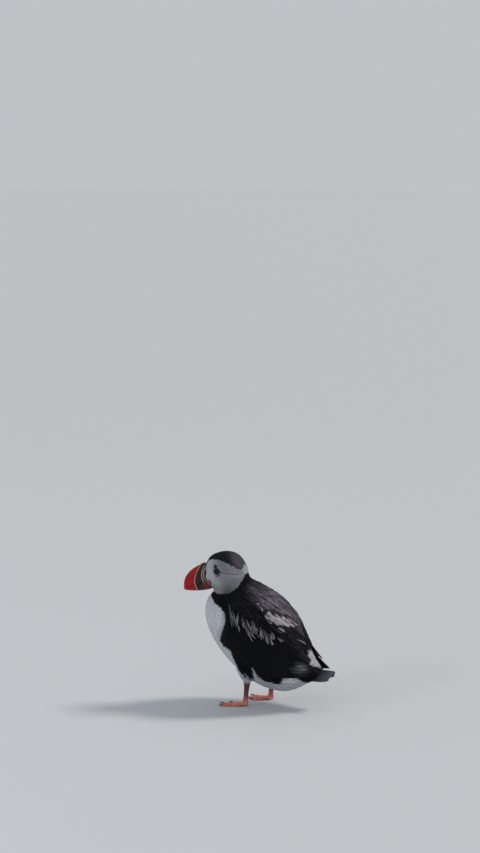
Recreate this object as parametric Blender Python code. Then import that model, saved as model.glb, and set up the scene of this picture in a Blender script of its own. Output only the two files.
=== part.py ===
"""An Atlantic puffin (Fratercula arctica) at life size, standing at rest with its wings folded.

The bird faces -Y, its left side is +X, and it stands on z = 0. Dimensions are in millimetres and MM
turns them into Blender's metres. The flesh pieces are lofts: the body's rings each join a point of the
back's profile to a point of the belly's, so the two profiles are the side outline. Neighbouring pieces
keep a thin gap, GAP.
"""

import math

import bmesh
import bpy
from mathutils import Vector

MM = 0.001
GAP = 0.4
# A piece that another cuts is cut by a copy of it grown by this.
CARVE_GROW = 0.5

# Body: rows of (back y, back z, belly y, belly z, half width), from inside the head to the tail's root.
BODY_STATIONS = (
    (-24, 188, -48, 171, 14),
    (-14, 180.5, -64, 157, 20.5),
    (-1, 174, -73, 146, 30),
    (15.5, 164.5, -75.5, 127, 42.5),
    (34.5, 153, -69.5, 105, 51),
    (48.5, 138.5, -57.5, 83, 53),
    (60, 123.5, -42, 63.5, 51),
    (67, 109, -23, 45, 47),
    (73, 96, -2, 30.5, 41),
    (78, 85, 19, 22.3, 34),
    (84, 74, 42, 19.5, 27),
    (91, 64, 61.5, 25, 21),
    (97, 56, 77, 34, 15.5),
    (103, 50, 90, 42, 11),
)
BODY_SQUARENESS = 2.15
NECK_END = 1.7
TRUNK_END = 12.35
BODY_SEGMENTS = 30
RINGS_PER_STATION = 2
# The back is parted from the trunk below it: rows of (station, share of the ring), 0 at the belly.
BACK_SHARES = ((1.7, 0.50), (2.6, 0.62), (3.6, 0.79), (5.0, 0.86), (12.35, 0.86))

# Head frame: h runs forward along the gape, k up, from the middle of the bill's base.
BILL_BASE_Y = -70.4
BILL_BASE_Z = 177.0
HEAD_PITCH = math.radians(20)
# Rows of (h, top k, bottom k, half width).
HEAD_STATIONS = (
    (0.0, 19.6, -17.6, 9.5),
    (-5.0, 23.4, -21.5, 13.5),
    (-12.0, 26.6, -25.5, 17.6),
    (-21.0, 27.8, -29.0, 21.6),
    (-31.0, 27.2, -31.0, 24.6),
    (-40.0, 24.4, -31.0, 25.6),
    (-48.5, 19.0, -27.5, 20.8),
    (-53.5, 11.4, -21.5, 13.2),
    (-56.0, 3.0, -14.0, 6.6),
)
HEAD_BACK = (-57.0, -5.5)
HEAD_SEGMENTS = 26
HEAD_SQUARENESS = 2.1
CHEEK_DROP = 0.16

# Bill: rows of (h, culmen k, underside k, half width at the gape).
BILL_STATIONS = (
    (0.4, 19.4, -18.0, 9.6),
    (5.0, 18.9, -18.6, 9.0),
    (11.0, 18.0, -18.3, 8.2),
    (18.0, 16.7, -17.1, 7.0),
    (25.0, 14.5, -15.4, 5.8),
    (31.0, 11.4, -13.8, 4.7),
    (36.5, 7.0, -12.0, 3.6),
    (40.5, 1.6, -10.4, 2.6),
)
BILL_TIP = (43.4, -6.6)
GAPE_K = -5.5
GAPE_SAG = 1.6
RIDGE_HALF = 0.24
KEEL_HALF = 0.42
BILL_SIDE_STEPS = 5
BILL_FULLNESS = 2.2
GAPE_HOOK = 0.4
# The upper mandible's tip stands this far over BILL_TIP, the lower's this far under it and behind it.
TIP_RISE = 0.9
TIP_DROP = 0.2
TIP_SET_BACK = 1.8

EYE_PLACE = (-21.2, 17.9, 3.3)
EYE_RADIUS = 5.0
PLATE_THICK = 1.3
PLATE_REACH = 6.0
UPPER_PLATE = ((-3.2, 5.4), (3.4, 5.4), (1.2, 10.2))
LOWER_PLATE = ((-5.2, -5.4), (4.2, -5.4), (3.0, -7.4), (-4.4, -6.8))
GAPE_ROSETTE = (-1.2, 10.4, -9.0)
ROSETTE_RADII = (3.0, 4.4, 3.8)

# Wing: rows of (station, lower share, upper share, thickness, lift off the body).
# A share runs from the belly, 0, to the back, 1.
WING_STATIONS = (
    (3.15, 0.60, 0.80, 1.4, 0.9),
    (3.6, 0.50, 0.87, 3.0, 0.9),
    (4.2, 0.40, 0.905, 4.4, 0.9),
    (4.8, 0.25, 0.92, 5.2, 0.9),
    (5.3, 0.21, 0.93, 5.4, 0.9),
    (6.0, 0.25, 0.94, 5.4, 0.9),
    (7.0, 0.26, 0.945, 5.2, 0.9),
    (8.0, 0.27, 0.95, 5.0, 1.3),
    (9.0, 0.32, 0.95, 4.6, 2.1),
    (10.0, 0.42, 0.94, 4.2, 4.4),
    (11.0, 0.55, 0.91, 3.6, 6.8),
    (12.0, 0.66, 0.87, 2.8, 8.6),
    (12.45, 0.745, 0.845, 1.8, 9.2),
)
WING_SPLIT = 9.0
WING_SPLIT_GAP = 0.04
WING_ROWS_PER_STATION = 3
WING_ACROSS = 8
WING_EDGE = 0.75

TAIL_ROOT = (72.0, 43.0)
TAIL_LENGTH = 42.5
TAIL_RISE = 1.0
TAIL_ROUNDING = 0.1
TAIL_ROOT_HALF = 11.0
TAIL_TIP_HALF = 16.5
TAIL_ARCH = 10.5
TAIL_THICK_ROOT = 4.0
TAIL_THICK_TIP = 1.3
TAIL_FEATHERS = 8
TAIL_SCALLOP = 1.3
TAIL_EDGE_THIN = 0.55
TAIL_STEPS = 6
TAIL_ACROSS = 24

# Legs stand LEG_SPREAD from the middle, one foot a step behind the other.
# Each side has its foot's y, its ankle's y and its lowest feather's z.
LEG_SPREAD = 24.0
LEGS = {"left": (-8.5, -5.5, 34.0), "right": (12.0, 14.0, 27.5)}
SIDE_SIGN = {"left": 1, "right": -1}
ANKLE_Z = 34.0
# Rows of (height over the lowest feather, half width across, half width along).
THIGH_RINGS = ((28, 15, 21), (18, 14, 19), (10, 11.5, 14), (4.5, 8.0, 9.5), (0, 5.0, 6.0))
# Rows of (share of the way down to the foot, half width across, half width along).
TARSUS_RINGS = (
    (0, 4.3, 5.4),
    (0.15, 3.7, 4.6),
    (0.37, 2.8, 3.7),
    (0.66, 2.6, 3.5),
    (0.88, 3.1, 4.0),
    (1, 3.9, 4.7),
)
TARSUS_BASE = 6.8
LEG_SEGMENTS = 12

# Toes: name to (length, turn out from straight ahead in degrees).
TOES = {"inner": (26.0, -25.0), "middle": (33.5, -3.0), "outer": (32.0, 20.0)}
TOE_ROOT_RADIUS = 2.7
TOE_TIP_RADIUS = 1.7
TOE_SEGMENTS = 8
TOE_SHARES = (0.0, 0.25, 0.5, 0.75, 0.93, 1.0)
TOE_END_SHRINK = 0.7
# A toe's middle line stands this share of its radius over the ground, which cuts it flat.
TOE_SINK = 0.72
TOE_ROOT_RISE = 2.0
CLAW_LENGTH = 6.5
CLAW_OVERLAP = 1.6
CLAW_HUMP = 1.5
# Rows of (share of the claw's length, radius).
CLAW_RINGS = ((0.0, 1.25), (0.35, 1.1), (0.7, 0.75), (1.0, 0.3))
WEB_THICK = 1.2
WEB_LIFT = 0.25
WEB_REACH = 0.92
WEB_SCOOP = 0.13
WEB_BACK = 2.0
HEEL_PLACE = (0, 0.3, 2.9)
HEEL_RADII = (4.2, 5.0, 3.5)

BLACK = (0.012, 0.012, 0.016)
WHITE = (0.72, 0.72, 0.74)
CHEEK_GREY = (0.52, 0.52, 0.55)
BILL_RED = (0.60, 0.035, 0.02)
BILL_SLATE = (0.06, 0.06, 0.075)
LEG_ORANGE = (0.72, 0.12, 0.03)
GAPE_YELLOW = (0.75, 0.28, 0.05)
EYE_BROWN = (0.03, 0.015, 0.01)


def material(name, colour, roughness):
    """A Principled material, made once for each name."""
    made = bpy.data.materials.get(name) or bpy.data.materials.new(name)
    made.use_nodes = True
    shader = made.node_tree.nodes["Principled BSDF"]
    shader.inputs["Base Color"].default_value = (*colour, 1.0)
    shader.inputs["Roughness"].default_value = roughness
    shader.inputs["Metallic"].default_value = 0.0
    return made


def spline(rows, u):
    """The row at station u of a table whose rows stand at 0, 1, 2 and so on, by a Catmull-Rom curve."""
    last = len(rows) - 1
    i = max(0, min(last - 1, int(math.floor(u))))
    t = u - i
    before, start, end, after = (rows[max(0, min(last, j))] for j in (i - 1, i, i + 1, i + 2))
    return [
        0.5 * (2 * b + (c - a) * t + (2 * a - 5 * b + 4 * c - d) * t * t + (3 * b - a - 3 * c + d) * t**3)
        for a, b, c, d in zip(before, start, end, after)
    ]


def keyed(rows, key):
    """The rest of the row of a table sorted by its first column, read at that column's value."""
    last = len(rows) - 2
    i = max(0, min(last, sum(row[0] <= key for row in rows) - 1))
    t = (key - rows[i][0]) / (rows[i + 1][0] - rows[i][0])
    return spline(rows, i + max(0.0, min(1.0, t)))[1:]


def squared(value, squareness):
    """A sine or cosine pushed towards a rounded square."""
    return math.copysign(abs(value) ** (2 / squareness), value)


def body_point(u, phi, grow=0.0):
    """A point of the body at station u; phi is 0 on the back, pi on the belly, positive to the left."""
    back_y, back_z, belly_y, belly_z, half = spline(BODY_STATIONS, u)
    reach_y, reach_z = (back_y - belly_y) / 2, (back_z - belly_z) / 2
    along = squared(math.cos(phi), BODY_SQUARENESS) * (1 + grow / math.hypot(reach_y, reach_z))
    across = squared(math.sin(phi), BODY_SQUARENESS) * (half + grow)
    return Vector(
        (across, (back_y + belly_y) / 2 + reach_y * along, (back_z + belly_z) / 2 + reach_z * along)
    )


def head_place(h, x, k):
    """A point given in the head's frame, in the bird's."""
    cos, sin = math.cos(HEAD_PITCH), math.sin(HEAD_PITCH)
    return Vector((x, BILL_BASE_Y - h * cos - k * sin, BILL_BASE_Z - h * sin + k * cos))


def finish(bm, name, look):
    """Makes an object of a mesh given in millimetres."""
    bmesh.ops.recalc_face_normals(bm, faces=bm.faces)
    bmesh.ops.scale(bm, vec=(MM, MM, MM), verts=bm.verts)
    mesh = bpy.data.meshes.new(name)
    bm.to_mesh(mesh)
    bm.free()
    mesh.shade_smooth()
    mesh.set_sharp_from_angle(angle=math.radians(40))
    mesh.materials.append(look)
    obj = bpy.data.objects.new(name, mesh)
    bpy.context.scene.collection.objects.link(obj)
    return obj


def skin_rings(bm, rings, tips=(None, None)):
    """Joins rings of points by quads, and closes each end by a fan to its tip, or flat where it has none."""
    loops = [[bm.verts.new(p) for p in ring] for ring in rings]
    for one, two in zip(loops, loops[1:]):
        for i in range(len(one)):
            j = (i + 1) % len(one)
            bm.faces.new((one[i], one[j], two[j], two[i]))
    for loop, tip in zip((loops[0], loops[-1]), tips):
        if tip is None:
            bm.faces.new(loop)
            continue
        point = bm.verts.new(tip)
        for i in range(len(loop)):
            bm.faces.new((loop[i], loop[(i + 1) % len(loop)], point))


def loft(name, rings, look, tips=(None, None)):
    """One closed object over rings of points."""
    bm = bmesh.new()
    skin_rings(bm, rings, tips)
    return finish(bm, name, look)


def combine(target, other, operation):
    """Applies a Boolean of other to target, and removes other."""
    step = target.modifiers.new(operation.lower(), "BOOLEAN")
    step.operation = operation
    step.solver = "EXACT"
    step.object = other
    bpy.context.view_layer.update()
    result = bpy.data.meshes.new_from_object(target.evaluated_get(bpy.context.evaluated_depsgraph_get()))
    target.modifiers.clear()
    target.data = result
    target.data.name = target.name
    bpy.data.objects.remove(other)
    return target


def share_to_phi(share):
    """The ring angle whose place between belly, 0, and back, 1, is this share."""
    along = math.copysign(abs(2 * share - 1) ** (BODY_SQUARENESS / 2), 2 * share - 1)
    return math.acos(max(-1.0, min(1.0, along)))


def body_ring(u, grow=0.0, shift=0.0, part="whole"):
    """A ring of the body, or its part above or below the back's cut, which a straight chord closes.

    The ring is moved by shift along its plane's normal, away from the head.
    """
    back_y, back_z, belly_y, belly_z, _ = spline(BODY_STATIONS, u)
    span = math.hypot(back_y - belly_y, back_z - belly_z)
    away = Vector((0, (back_z - belly_z) / span, (belly_y - back_y) / span)) * shift
    if part == "whole":
        turns = [2 * math.pi * i / BODY_SEGMENTS for i in range(BODY_SEGMENTS)]
        return [body_point(u, phi, grow) + away for phi in turns]
    cut = keyed(BACK_SHARES, u)[0]
    steps = BODY_SEGMENTS // 2
    if part == "back":
        edge = share_to_phi(cut + GAP / 2 / span)
        start, end = -edge, edge
    else:
        edge = share_to_phi(cut - GAP / 2 / span)
        start, end = edge, 2 * math.pi - edge
    return [body_point(u, start + (end - start) * i / steps, grow) + away for i in range(steps + 1)]


def body_loft(name, first, last, look, grow=0.0, shift=0.0, part="whole"):
    """The body between two stations, flat at both ends."""
    steps = max(1, round((last - first) * RINGS_PER_STATION))
    places = [first + (last - first) * i / steps for i in range(steps + 1)]
    rings = [body_ring(u, grow, shift if u == first else 0.0, part) for u in places]
    return loft(name, rings, look)


def head_loft(name, look, grow=0.0):
    """The whole head as one rounded solid, flat where the bill starts."""
    rings = []
    steps = (len(HEAD_STATIONS) - 1) * RINGS_PER_STATION
    for i in range(steps + 1):
        h, top, bottom, half = spline(HEAD_STATIONS, i / RINGS_PER_STATION)
        middle, reach = (top + bottom) / 2, (top - bottom) / 2 + grow
        ring = []
        for j in range(HEAD_SEGMENTS):
            phi = 2 * math.pi * j / HEAD_SEGMENTS
            up = squared(math.cos(phi), HEAD_SQUARENESS)
            side = squared(math.sin(phi), HEAD_SQUARENESS) * (half + grow) * (1 - CHEEK_DROP * up)
            ring.append(head_place(h + (grow if i == 0 else 0), side, middle + reach * up))
        rings.append(ring)
    tip = head_place(HEAD_BACK[0] - grow, 0, HEAD_BACK[1])
    return loft(name, rings, look, (None, tip))


def ball(name, centre, radii, look, segments=12):
    """A ball or ellipsoid."""
    bm = bmesh.new()
    bmesh.ops.create_uvsphere(bm, u_segments=segments, v_segments=segments * 2 // 3, radius=1)
    bmesh.ops.scale(bm, vec=radii, verts=bm.verts)
    bmesh.ops.translate(bm, vec=centre, verts=bm.verts)
    return finish(bm, name, look)


def mandible(name, look, upper, grow=0.0):
    """The bill above or below its gape, which is a thin cut along the head's frame."""
    sign = 1 if upper else -1
    ridge = RIDGE_HALF if upper else KEEL_HALF
    rings = []
    for i in range((len(BILL_STATIONS) - 1) * RINGS_PER_STATION + 1):
        h, culmen, keel, half = spline(BILL_STATIONS, i / RINGS_PER_STATION)
        share = h / BILL_TIP[0]
        gape = GAPE_K - GAPE_SAG * math.sin(math.pi * share) + (BILL_TIP[1] - GAPE_K) * share**3 * GAPE_HOOK
        edge = gape + sign * (GAP / 2 - grow)
        far = (culmen if upper else keel) + sign * grow
        side = []
        for j in range(BILL_SIDE_STEPS + 1):
            rise = math.sin(math.pi / 2 * j / BILL_SIDE_STEPS)
            full = ridge + (1 - ridge) * (1 - rise**BILL_FULLNESS)
            width = (half + grow) * full if j < BILL_SIDE_STEPS else 0.0
            side.append((width, edge + (far - edge) * rise))
        along = h - grow if i == 0 else h
        ring = [head_place(along, x, k) for x, k in side]
        ring += [head_place(along, -x, k) for x, k in reversed(side[:-1])]
        rings.append(ring)
    drop = TIP_RISE if upper else -TIP_DROP
    tip = head_place(BILL_TIP[0] - (0.0 if upper else TIP_SET_BACK), 0, BILL_TIP[1] + drop)
    return loft(name, rings, look, (None, tip))


def plate(name, corners, sign, look):
    """A thin horny plate beside an eye, from corners given as (h, k) from the eye's middle."""
    eye_h, eye_x, eye_k = EYE_PLACE
    bm = bmesh.new()
    for x in (eye_x - PLATE_REACH, eye_x + PLATE_REACH):
        ring = [bm.verts.new(head_place(eye_h + h, sign * x, eye_k + k)) for h, k in corners]
        bm.faces.new(ring)
    count = len(corners)
    verts = list(bm.verts)
    for i in range(count):
        j = (i + 1) % count
        bm.faces.new((verts[i], verts[j], verts[count + j], verts[count + i]))
    return finish(bm, name, look)


def rim_of(grid):
    """The points round the edge of a grid of rows, in order."""
    return grid[0] + [row[-1] for row in grid[1:-1]] + grid[-1][::-1] + [row[0] for row in grid[-2:0:-1]]


def close_sheets(bm, one, two):
    """Faces over two grids of points and between their rims, so that they become one thin solid."""
    for grid in (one, two):
        for near, far in zip(grid, grid[1:]):
            for a, b, c, d in zip(near, near[1:], far[1:], far):
                bm.faces.new((a, b, c, d))
    first, second = rim_of(one), rim_of(two)
    for i in range(len(first)):
        j = (i + 1) % len(first)
        bm.faces.new((first[i], first[j], second[j], second[i]))


def wing_patch(name, first, last, sign, look):
    """A shell over the body's side between two stations, thin at its edges, as a folded wing lies."""
    rows = max(2, round((last - first) * WING_ROWS_PER_STATION))
    bm = bmesh.new()
    inner, outer = [], []
    for i in range(rows + 1):
        u = first + (last - first) * i / rows
        low, high, thick, lift = keyed(WING_STATIONS, u)
        start, end = share_to_phi(low), share_to_phi(high)
        inner.append([])
        outer.append([])
        for j in range(WING_ACROSS + 1):
            across = j / WING_ACROSS
            phi = sign * (start + (end - start) * across)
            full = math.sin(math.pi * across) ** 0.5 if 0 < j < WING_ACROSS else 0.0
            depth = WING_EDGE + (thick - WING_EDGE) * full
            inner[-1].append(bm.verts.new(body_point(u, phi, lift)))
            outer[-1].append(bm.verts.new(body_point(u, phi, lift + depth)))
    close_sheets(bm, inner, outer)
    return finish(bm, name, look)


def tail_fan(look):
    """The tail as a shallow arched fan whose end is scalloped by its feathers."""
    bm = bmesh.new()
    sheets = []
    for side in (1, -1):
        grid = []
        for i in range(TAIL_STEPS + 1):
            along = i / TAIL_STEPS
            thick = TAIL_THICK_ROOT + (TAIL_THICK_TIP - TAIL_THICK_ROOT) * along
            row = []
            for j in range(TAIL_ACROSS + 1):
                across = 2 * j / TAIL_ACROSS - 1
                dip = abs(math.sin(math.pi * TAIL_FEATHERS * (across + 1) / 2)) - 1
                length = TAIL_LENGTH * along * (1 - TAIL_ROUNDING * across**2 * along)
                length += TAIL_SCALLOP * dip * along**6
                width = TAIL_ROOT_HALF + (TAIL_TIP_HALF - TAIL_ROOT_HALF) * along**0.8
                rise = TAIL_RISE * along + TAIL_ARCH * (1 - across**2)
                height = rise + side * thick / 2 * (1 - TAIL_EDGE_THIN * abs(across) ** 6)
                row.append(bm.verts.new((across * width, TAIL_ROOT[0] + length, TAIL_ROOT[1] + height)))
            grid.append(row)
        sheets.append(grid)
    close_sheets(bm, *sheets)
    return finish(bm, "tail", look)


def leg_rings(rows, side):
    """Elliptical rings down a leg, which leans from its foot to its ankle and on into the thigh."""
    foot_y, ankle_y, _ = LEGS[side]
    rings = []
    for z, across, along in rows:
        y = foot_y + (ankle_y - foot_y) * z / ANKLE_Z
        turns = (2 * math.pi * i / LEG_SEGMENTS for i in range(LEG_SEGMENTS))
        x = SIDE_SIGN[side] * LEG_SPREAD
        rings.append([Vector((x + across * math.cos(a), y + along * math.sin(a), z)) for a in turns])
    return rings


def tube(path, radii, name, look):
    """A round tube along a path that lies in an upright plane."""
    rings = []
    for i, point in enumerate(path):
        ahead = (path[min(i + 1, len(path) - 1)] - path[max(i - 1, 0)]).normalized()
        level = Vector((0, 0, 1)).cross(ahead).normalized()
        up = ahead.cross(level)
        turns = (2 * math.pi * j / TOE_SEGMENTS for j in range(TOE_SEGMENTS))
        rings.append([point + (level * math.cos(a) + up * math.sin(a)) * radii[i] for a in turns])
    return loft(name, rings, look)


def toe_direction(toe, sign):
    """The level direction of a toe, for the left foot with sign 1."""
    turn = math.radians(TOES[toe][1]) * sign
    return Vector((math.sin(turn), -math.cos(turn), 0))


def toe_and_claw(toe, root, sign, look):
    """A toe from the foot's root, with its claw curving down to the ground."""
    ahead = toe_direction(toe, sign)
    path, radii = [], []
    for share in TOE_SHARES:
        radius = TOE_ROOT_RADIUS + (TOE_TIP_RADIUS - TOE_ROOT_RADIUS) * share
        height = radius * TOE_SINK + TOE_ROOT_RISE * (1 - share) ** 3
        path.append(root + ahead * TOES[toe][0] * share + Vector((0, 0, height)))
        radii.append(radius)
    radii[-1] *= TOE_END_SHRINK
    made = tube(path, radii, "toe", look)
    start = path[-1] - ahead * CLAW_OVERLAP
    claw_path = []
    for share, _ in CLAW_RINGS:
        height = CLAW_HUMP * math.sin(5 * math.pi / 6 * share) - share
        claw_path.append(start + ahead * CLAW_LENGTH * share + Vector((0, 0, height)))
    claw = tube(claw_path, [radius for _, radius in CLAW_RINGS], "claw", look)
    return combine(made, claw, "UNION")


def web(root, sign, look):
    """The web between the three toes, with a scooped front edge between their tips."""
    ends = [root + toe_direction(toe, sign) * TOES[toe][0] * WEB_REACH for toe in TOES]
    outline = [root + Vector((0, WEB_BACK, 0)), ends[0]]
    for one, two in zip(ends, ends[1:]):
        for share in (0.25, 0.5, 0.75):
            between = one.lerp(two, share)
            outline.append(between.lerp(root, WEB_SCOOP * math.sin(math.pi * share)))
        outline.append(two)
    bm = bmesh.new()
    for lift in (WEB_LIFT, WEB_LIFT + WEB_THICK):
        bm.faces.new([bm.verts.new(p + Vector((0, 0, lift))) for p in outline])
    verts, count = list(bm.verts), len(outline)
    for i in range(count):
        j = (i + 1) % count
        bm.faces.new((verts[i], verts[j], verts[count + j], verts[count + i]))
    return finish(bm, "web", look)


def foot(side, look):
    """A webbed foot with three toes and their claws, cut flat underneath at the ground."""
    sign = SIDE_SIGN[side]
    root = Vector((sign * LEG_SPREAD, LEGS[side][0], 0))
    made = ball(f"foot_{side}", root + Vector(HEEL_PLACE), HEEL_RADII, look)
    for toe in TOES:
        combine(made, toe_and_claw(toe, root, sign, look), "UNION")
    combine(made, web(root, sign, look), "UNION")
    bm = bmesh.new()
    bm.from_mesh(made.data)
    geometry = list(bm.verts) + list(bm.edges) + list(bm.faces)
    cut = bmesh.ops.bisect_plane(
        bm, geom=geometry, plane_co=(0, 0, 0), plane_no=(0, 0, -1), clear_outer=True, dist=1e-7
    )
    rim = [e for e in cut["geom_cut"] if isinstance(e, bmesh.types.BMEdge)]
    bmesh.ops.edgeloop_fill(bm, edges=rim)
    bmesh.ops.remove_doubles(bm, verts=bm.verts, dist=1e-5)
    bm.to_mesh(made.data)
    bm.free()


def clear_scene():
    for obj in list(bpy.data.objects):
        bpy.data.objects.remove(obj)


def build_head(looks):
    head = head_loft("head", looks["cheek"])
    for side, sign in SIDE_SIGN.items():
        h, x, k = EYE_PLACE
        centre = head_place(h, sign * x, k)
        socket_radius = EYE_RADIUS + GAP
        socket = ball("socket", centre, (socket_radius,) * 3, looks["eye"])
        combine(head, socket, "DIFFERENCE")
        ball(f"eye_{side}", centre, (EYE_RADIUS,) * 3, looks["eye"])
        for label, corners in (("upper", UPPER_PLATE), ("lower", LOWER_PLATE)):
            made = plate(f"eye_plate_{label}_{side}", corners, sign, looks["slate"])
            combine(made, head_loft("cutter", looks["cheek"], GAP), "DIFFERENCE")
            outer = head_loft("shell", looks["cheek"], GAP + PLATE_THICK)
            combine(made, outer, "INTERSECT")
    mandible("bill_upper", looks["bill"], True)
    mandible("bill_lower", looks["bill"], False)
    for side, sign in SIDE_SIGN.items():
        h, x, k = GAPE_ROSETTE
        made = ball(f"gape_{side}", head_place(h, sign * x, k), ROSETTE_RADII, looks["gape"], 10)
        combine(made, head_loft("cutter", looks["cheek"], CARVE_GROW), "DIFFERENCE")
        for upper in (True, False):
            combine(made, mandible("cutter", looks["bill"], upper, CARVE_GROW), "DIFFERENCE")


def build_body(looks):
    pieces = [
        body_loft("neck", 0, NECK_END, looks["black"]),
        body_loft("trunk", NECK_END, TRUNK_END, looks["white"], shift=GAP, part="belly"),
        body_loft("back", NECK_END, TRUNK_END, looks["black"], shift=GAP, part="back"),
    ]
    for piece in pieces:
        combine(piece, head_loft("cutter", looks["black"], CARVE_GROW), "DIFFERENCE")
    tail = tail_fan(looks["black"])
    combine(tail, body_loft("cutter", NECK_END, TRUNK_END, looks["black"], CARVE_GROW), "DIFFERENCE")


def build_wings(looks):
    for side, sign in SIDE_SIGN.items():
        wing_patch(f"wing_{side}", WING_STATIONS[0][0], WING_SPLIT, sign, looks["black"])
        start = WING_SPLIT + WING_SPLIT_GAP
        wing_patch(f"primaries_{side}", start, WING_STATIONS[-1][0], sign, looks["black"])


def build_legs(looks):
    for side in SIDE_SIGN:
        hem = LEGS[side][2]
        rows = [(hem + lift, across, along) for lift, across, along in THIGH_RINGS]
        thigh = loft(f"thigh_{side}", leg_rings(rows, side), looks["black"])
        combine(thigh, body_loft("cutter", NECK_END, TRUNK_END, looks["black"], CARVE_GROW), "DIFFERENCE")
        top = hem - GAP
        rows = [(top + (TARSUS_BASE - top) * share, across, along) for share, across, along in TARSUS_RINGS]
        loft(f"tarsus_{side}", leg_rings(rows, side), looks["orange"])
        foot(side, looks["orange"])


def stand_on_origin():
    """Moves every mesh so that the box round the bird has the middle of its floor at the origin."""
    corners = [v.co for obj in bpy.data.objects for v in obj.data.vertices]
    low = [min(c[i] for c in corners) for i in range(3)]
    high = [max(c[i] for c in corners) for i in range(3)]
    shift = Vector((-(low[0] + high[0]) / 2, -(low[1] + high[1]) / 2, -low[2]))
    for obj in bpy.data.objects:
        for vertex in obj.data.vertices:
            vertex.co += shift


def main():
    clear_scene()
    looks = {
        "black": material("black_plumage", BLACK, 0.6),
        "white": material("white_plumage", WHITE, 0.85),
        "cheek": material("cheek_plumage", CHEEK_GREY, 0.85),
        "bill": material("bill_horn", BILL_RED, 0.35),
        "slate": material("eye_horn", BILL_SLATE, 0.5),
        "gape": material("gape_skin", GAPE_YELLOW, 0.6),
        "orange": material("leg_skin", LEG_ORANGE, 0.5),
        "eye": material("eye", EYE_BROWN, 0.08),
    }
    build_head(looks)
    build_body(looks)
    build_wings(looks)
    build_legs(looks)
    stand_on_origin()


main()
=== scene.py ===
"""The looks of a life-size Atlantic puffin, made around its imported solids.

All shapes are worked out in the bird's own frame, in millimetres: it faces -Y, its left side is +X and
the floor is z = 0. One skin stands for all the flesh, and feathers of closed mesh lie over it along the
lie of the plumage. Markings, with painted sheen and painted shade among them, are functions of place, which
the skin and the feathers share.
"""

import itertools
import math

import bmesh
import bpy
import numpy as np
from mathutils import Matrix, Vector
from mathutils.bvhtree import BVHTree
from mathutils.kdtree import KDTree


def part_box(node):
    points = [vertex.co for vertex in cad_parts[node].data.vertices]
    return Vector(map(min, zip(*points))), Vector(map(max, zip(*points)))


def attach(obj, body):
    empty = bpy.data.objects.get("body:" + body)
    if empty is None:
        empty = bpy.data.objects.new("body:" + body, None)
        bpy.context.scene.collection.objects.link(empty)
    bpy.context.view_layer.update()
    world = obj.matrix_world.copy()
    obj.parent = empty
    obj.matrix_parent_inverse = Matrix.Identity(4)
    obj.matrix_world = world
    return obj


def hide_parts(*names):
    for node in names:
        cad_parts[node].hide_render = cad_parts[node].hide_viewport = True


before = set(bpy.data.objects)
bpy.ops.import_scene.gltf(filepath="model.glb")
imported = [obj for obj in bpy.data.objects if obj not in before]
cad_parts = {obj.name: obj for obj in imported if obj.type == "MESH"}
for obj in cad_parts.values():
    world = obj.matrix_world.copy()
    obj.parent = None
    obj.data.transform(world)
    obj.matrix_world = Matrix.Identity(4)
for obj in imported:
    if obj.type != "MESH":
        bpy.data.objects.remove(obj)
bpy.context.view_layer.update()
MM = 0.001
TINY, FAR = 1e-9, 1e9
UP = np.array((0.0, 0.0, 1.0))
SIDES = {"left": 1, "right": -1}
rng = np.random.default_rng(20)

# The head's frame: h runs forward along the gape, x to the left and k up, from the middle of the bill's base.
BILL_BASE = np.array((0.0, -70.4, 177.0))
HEAD_PITCH = math.radians(20)
HEAD_H = np.array((0.0, -math.cos(HEAD_PITCH), -math.sin(HEAD_PITCH)))
HEAD_K = np.array((0.0, -math.sin(HEAD_PITCH), math.cos(HEAD_PITCH)))
HEAD_X = np.array((1.0, 0.0, 0.0))
EYE_PLACE = (-21.2, 17.9, 3.3)
EYE_RADIUS = 5.0


def head_place(h, x, k):
    """Places given in the head's frame, in the bird's."""
    h, x, k = (np.asarray(v, float)[..., None] for v in (h, x, k))
    return BILL_BASE + h * HEAD_H + x * HEAD_X + k * HEAD_K


def head_parts(points):
    """The h, x and k of places in the bird's frame."""
    off = points - BILL_BASE
    return off @ HEAD_H, off[..., 0], off @ HEAD_K


def node_centre(name):
    low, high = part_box(name)
    return np.array(low + high) / 2 / MM


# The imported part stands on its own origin, this far from the bird's frame.
SHIFT = node_centre("eye_left") - head_place(*EYE_PLACE)


def to_world(points):
    return (np.asarray(points, float) + SHIFT) * MM


def smooth_step(value, low, high):
    t = np.clip((value - low) / (high - low), 0, 1)
    return t * t * (3 - 2 * t)


def bell(value, width):
    return np.exp(-((value / width) ** 2))


def stripe(value, width):
    """Like bell, with a flatter top and crisper edges."""
    return np.exp(-((value / width) ** 4))


def circle(count):
    """Angles evenly round a full turn."""
    return np.linspace(0, 2 * math.pi, count, endpoint=False)


def unit(ways):
    return ways / np.maximum(np.linalg.norm(ways, axis=-1, keepdims=True), TINY)


# The sine waves that noise adds up: how many, their rate, the range of their starts and the sum's divisor.
NOISE_WAVES, NOISE_RATE, NOISE_TURN, NOISE_SUM = 5, 1.7, 6.28, 2.4


def noise(points, scale, seed):
    """A smooth wandering value from about -1 to 1."""
    draw = np.random.default_rng(seed)
    total = np.zeros(points.shape[:-1])
    for _ in range(NOISE_WAVES):
        total += np.sin(points @ draw.normal(size=3) / scale * NOISE_RATE + draw.uniform(0, NOISE_TURN))
    return total / NOISE_SUM


def inside(polygon, a, b):
    """Whether places on a plane lie in a polygon."""
    found = np.zeros(np.shape(a), bool)
    for (a0, b0), (a1, b1) in zip(polygon, polygon[1:] + polygon[:1]):
        crosses = (b0 > b) != (b1 > b)
        found ^= crosses & (a < a0 + (b - b0) * (a1 - a0) / (b1 - b0 + TINY))
    return found


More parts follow.
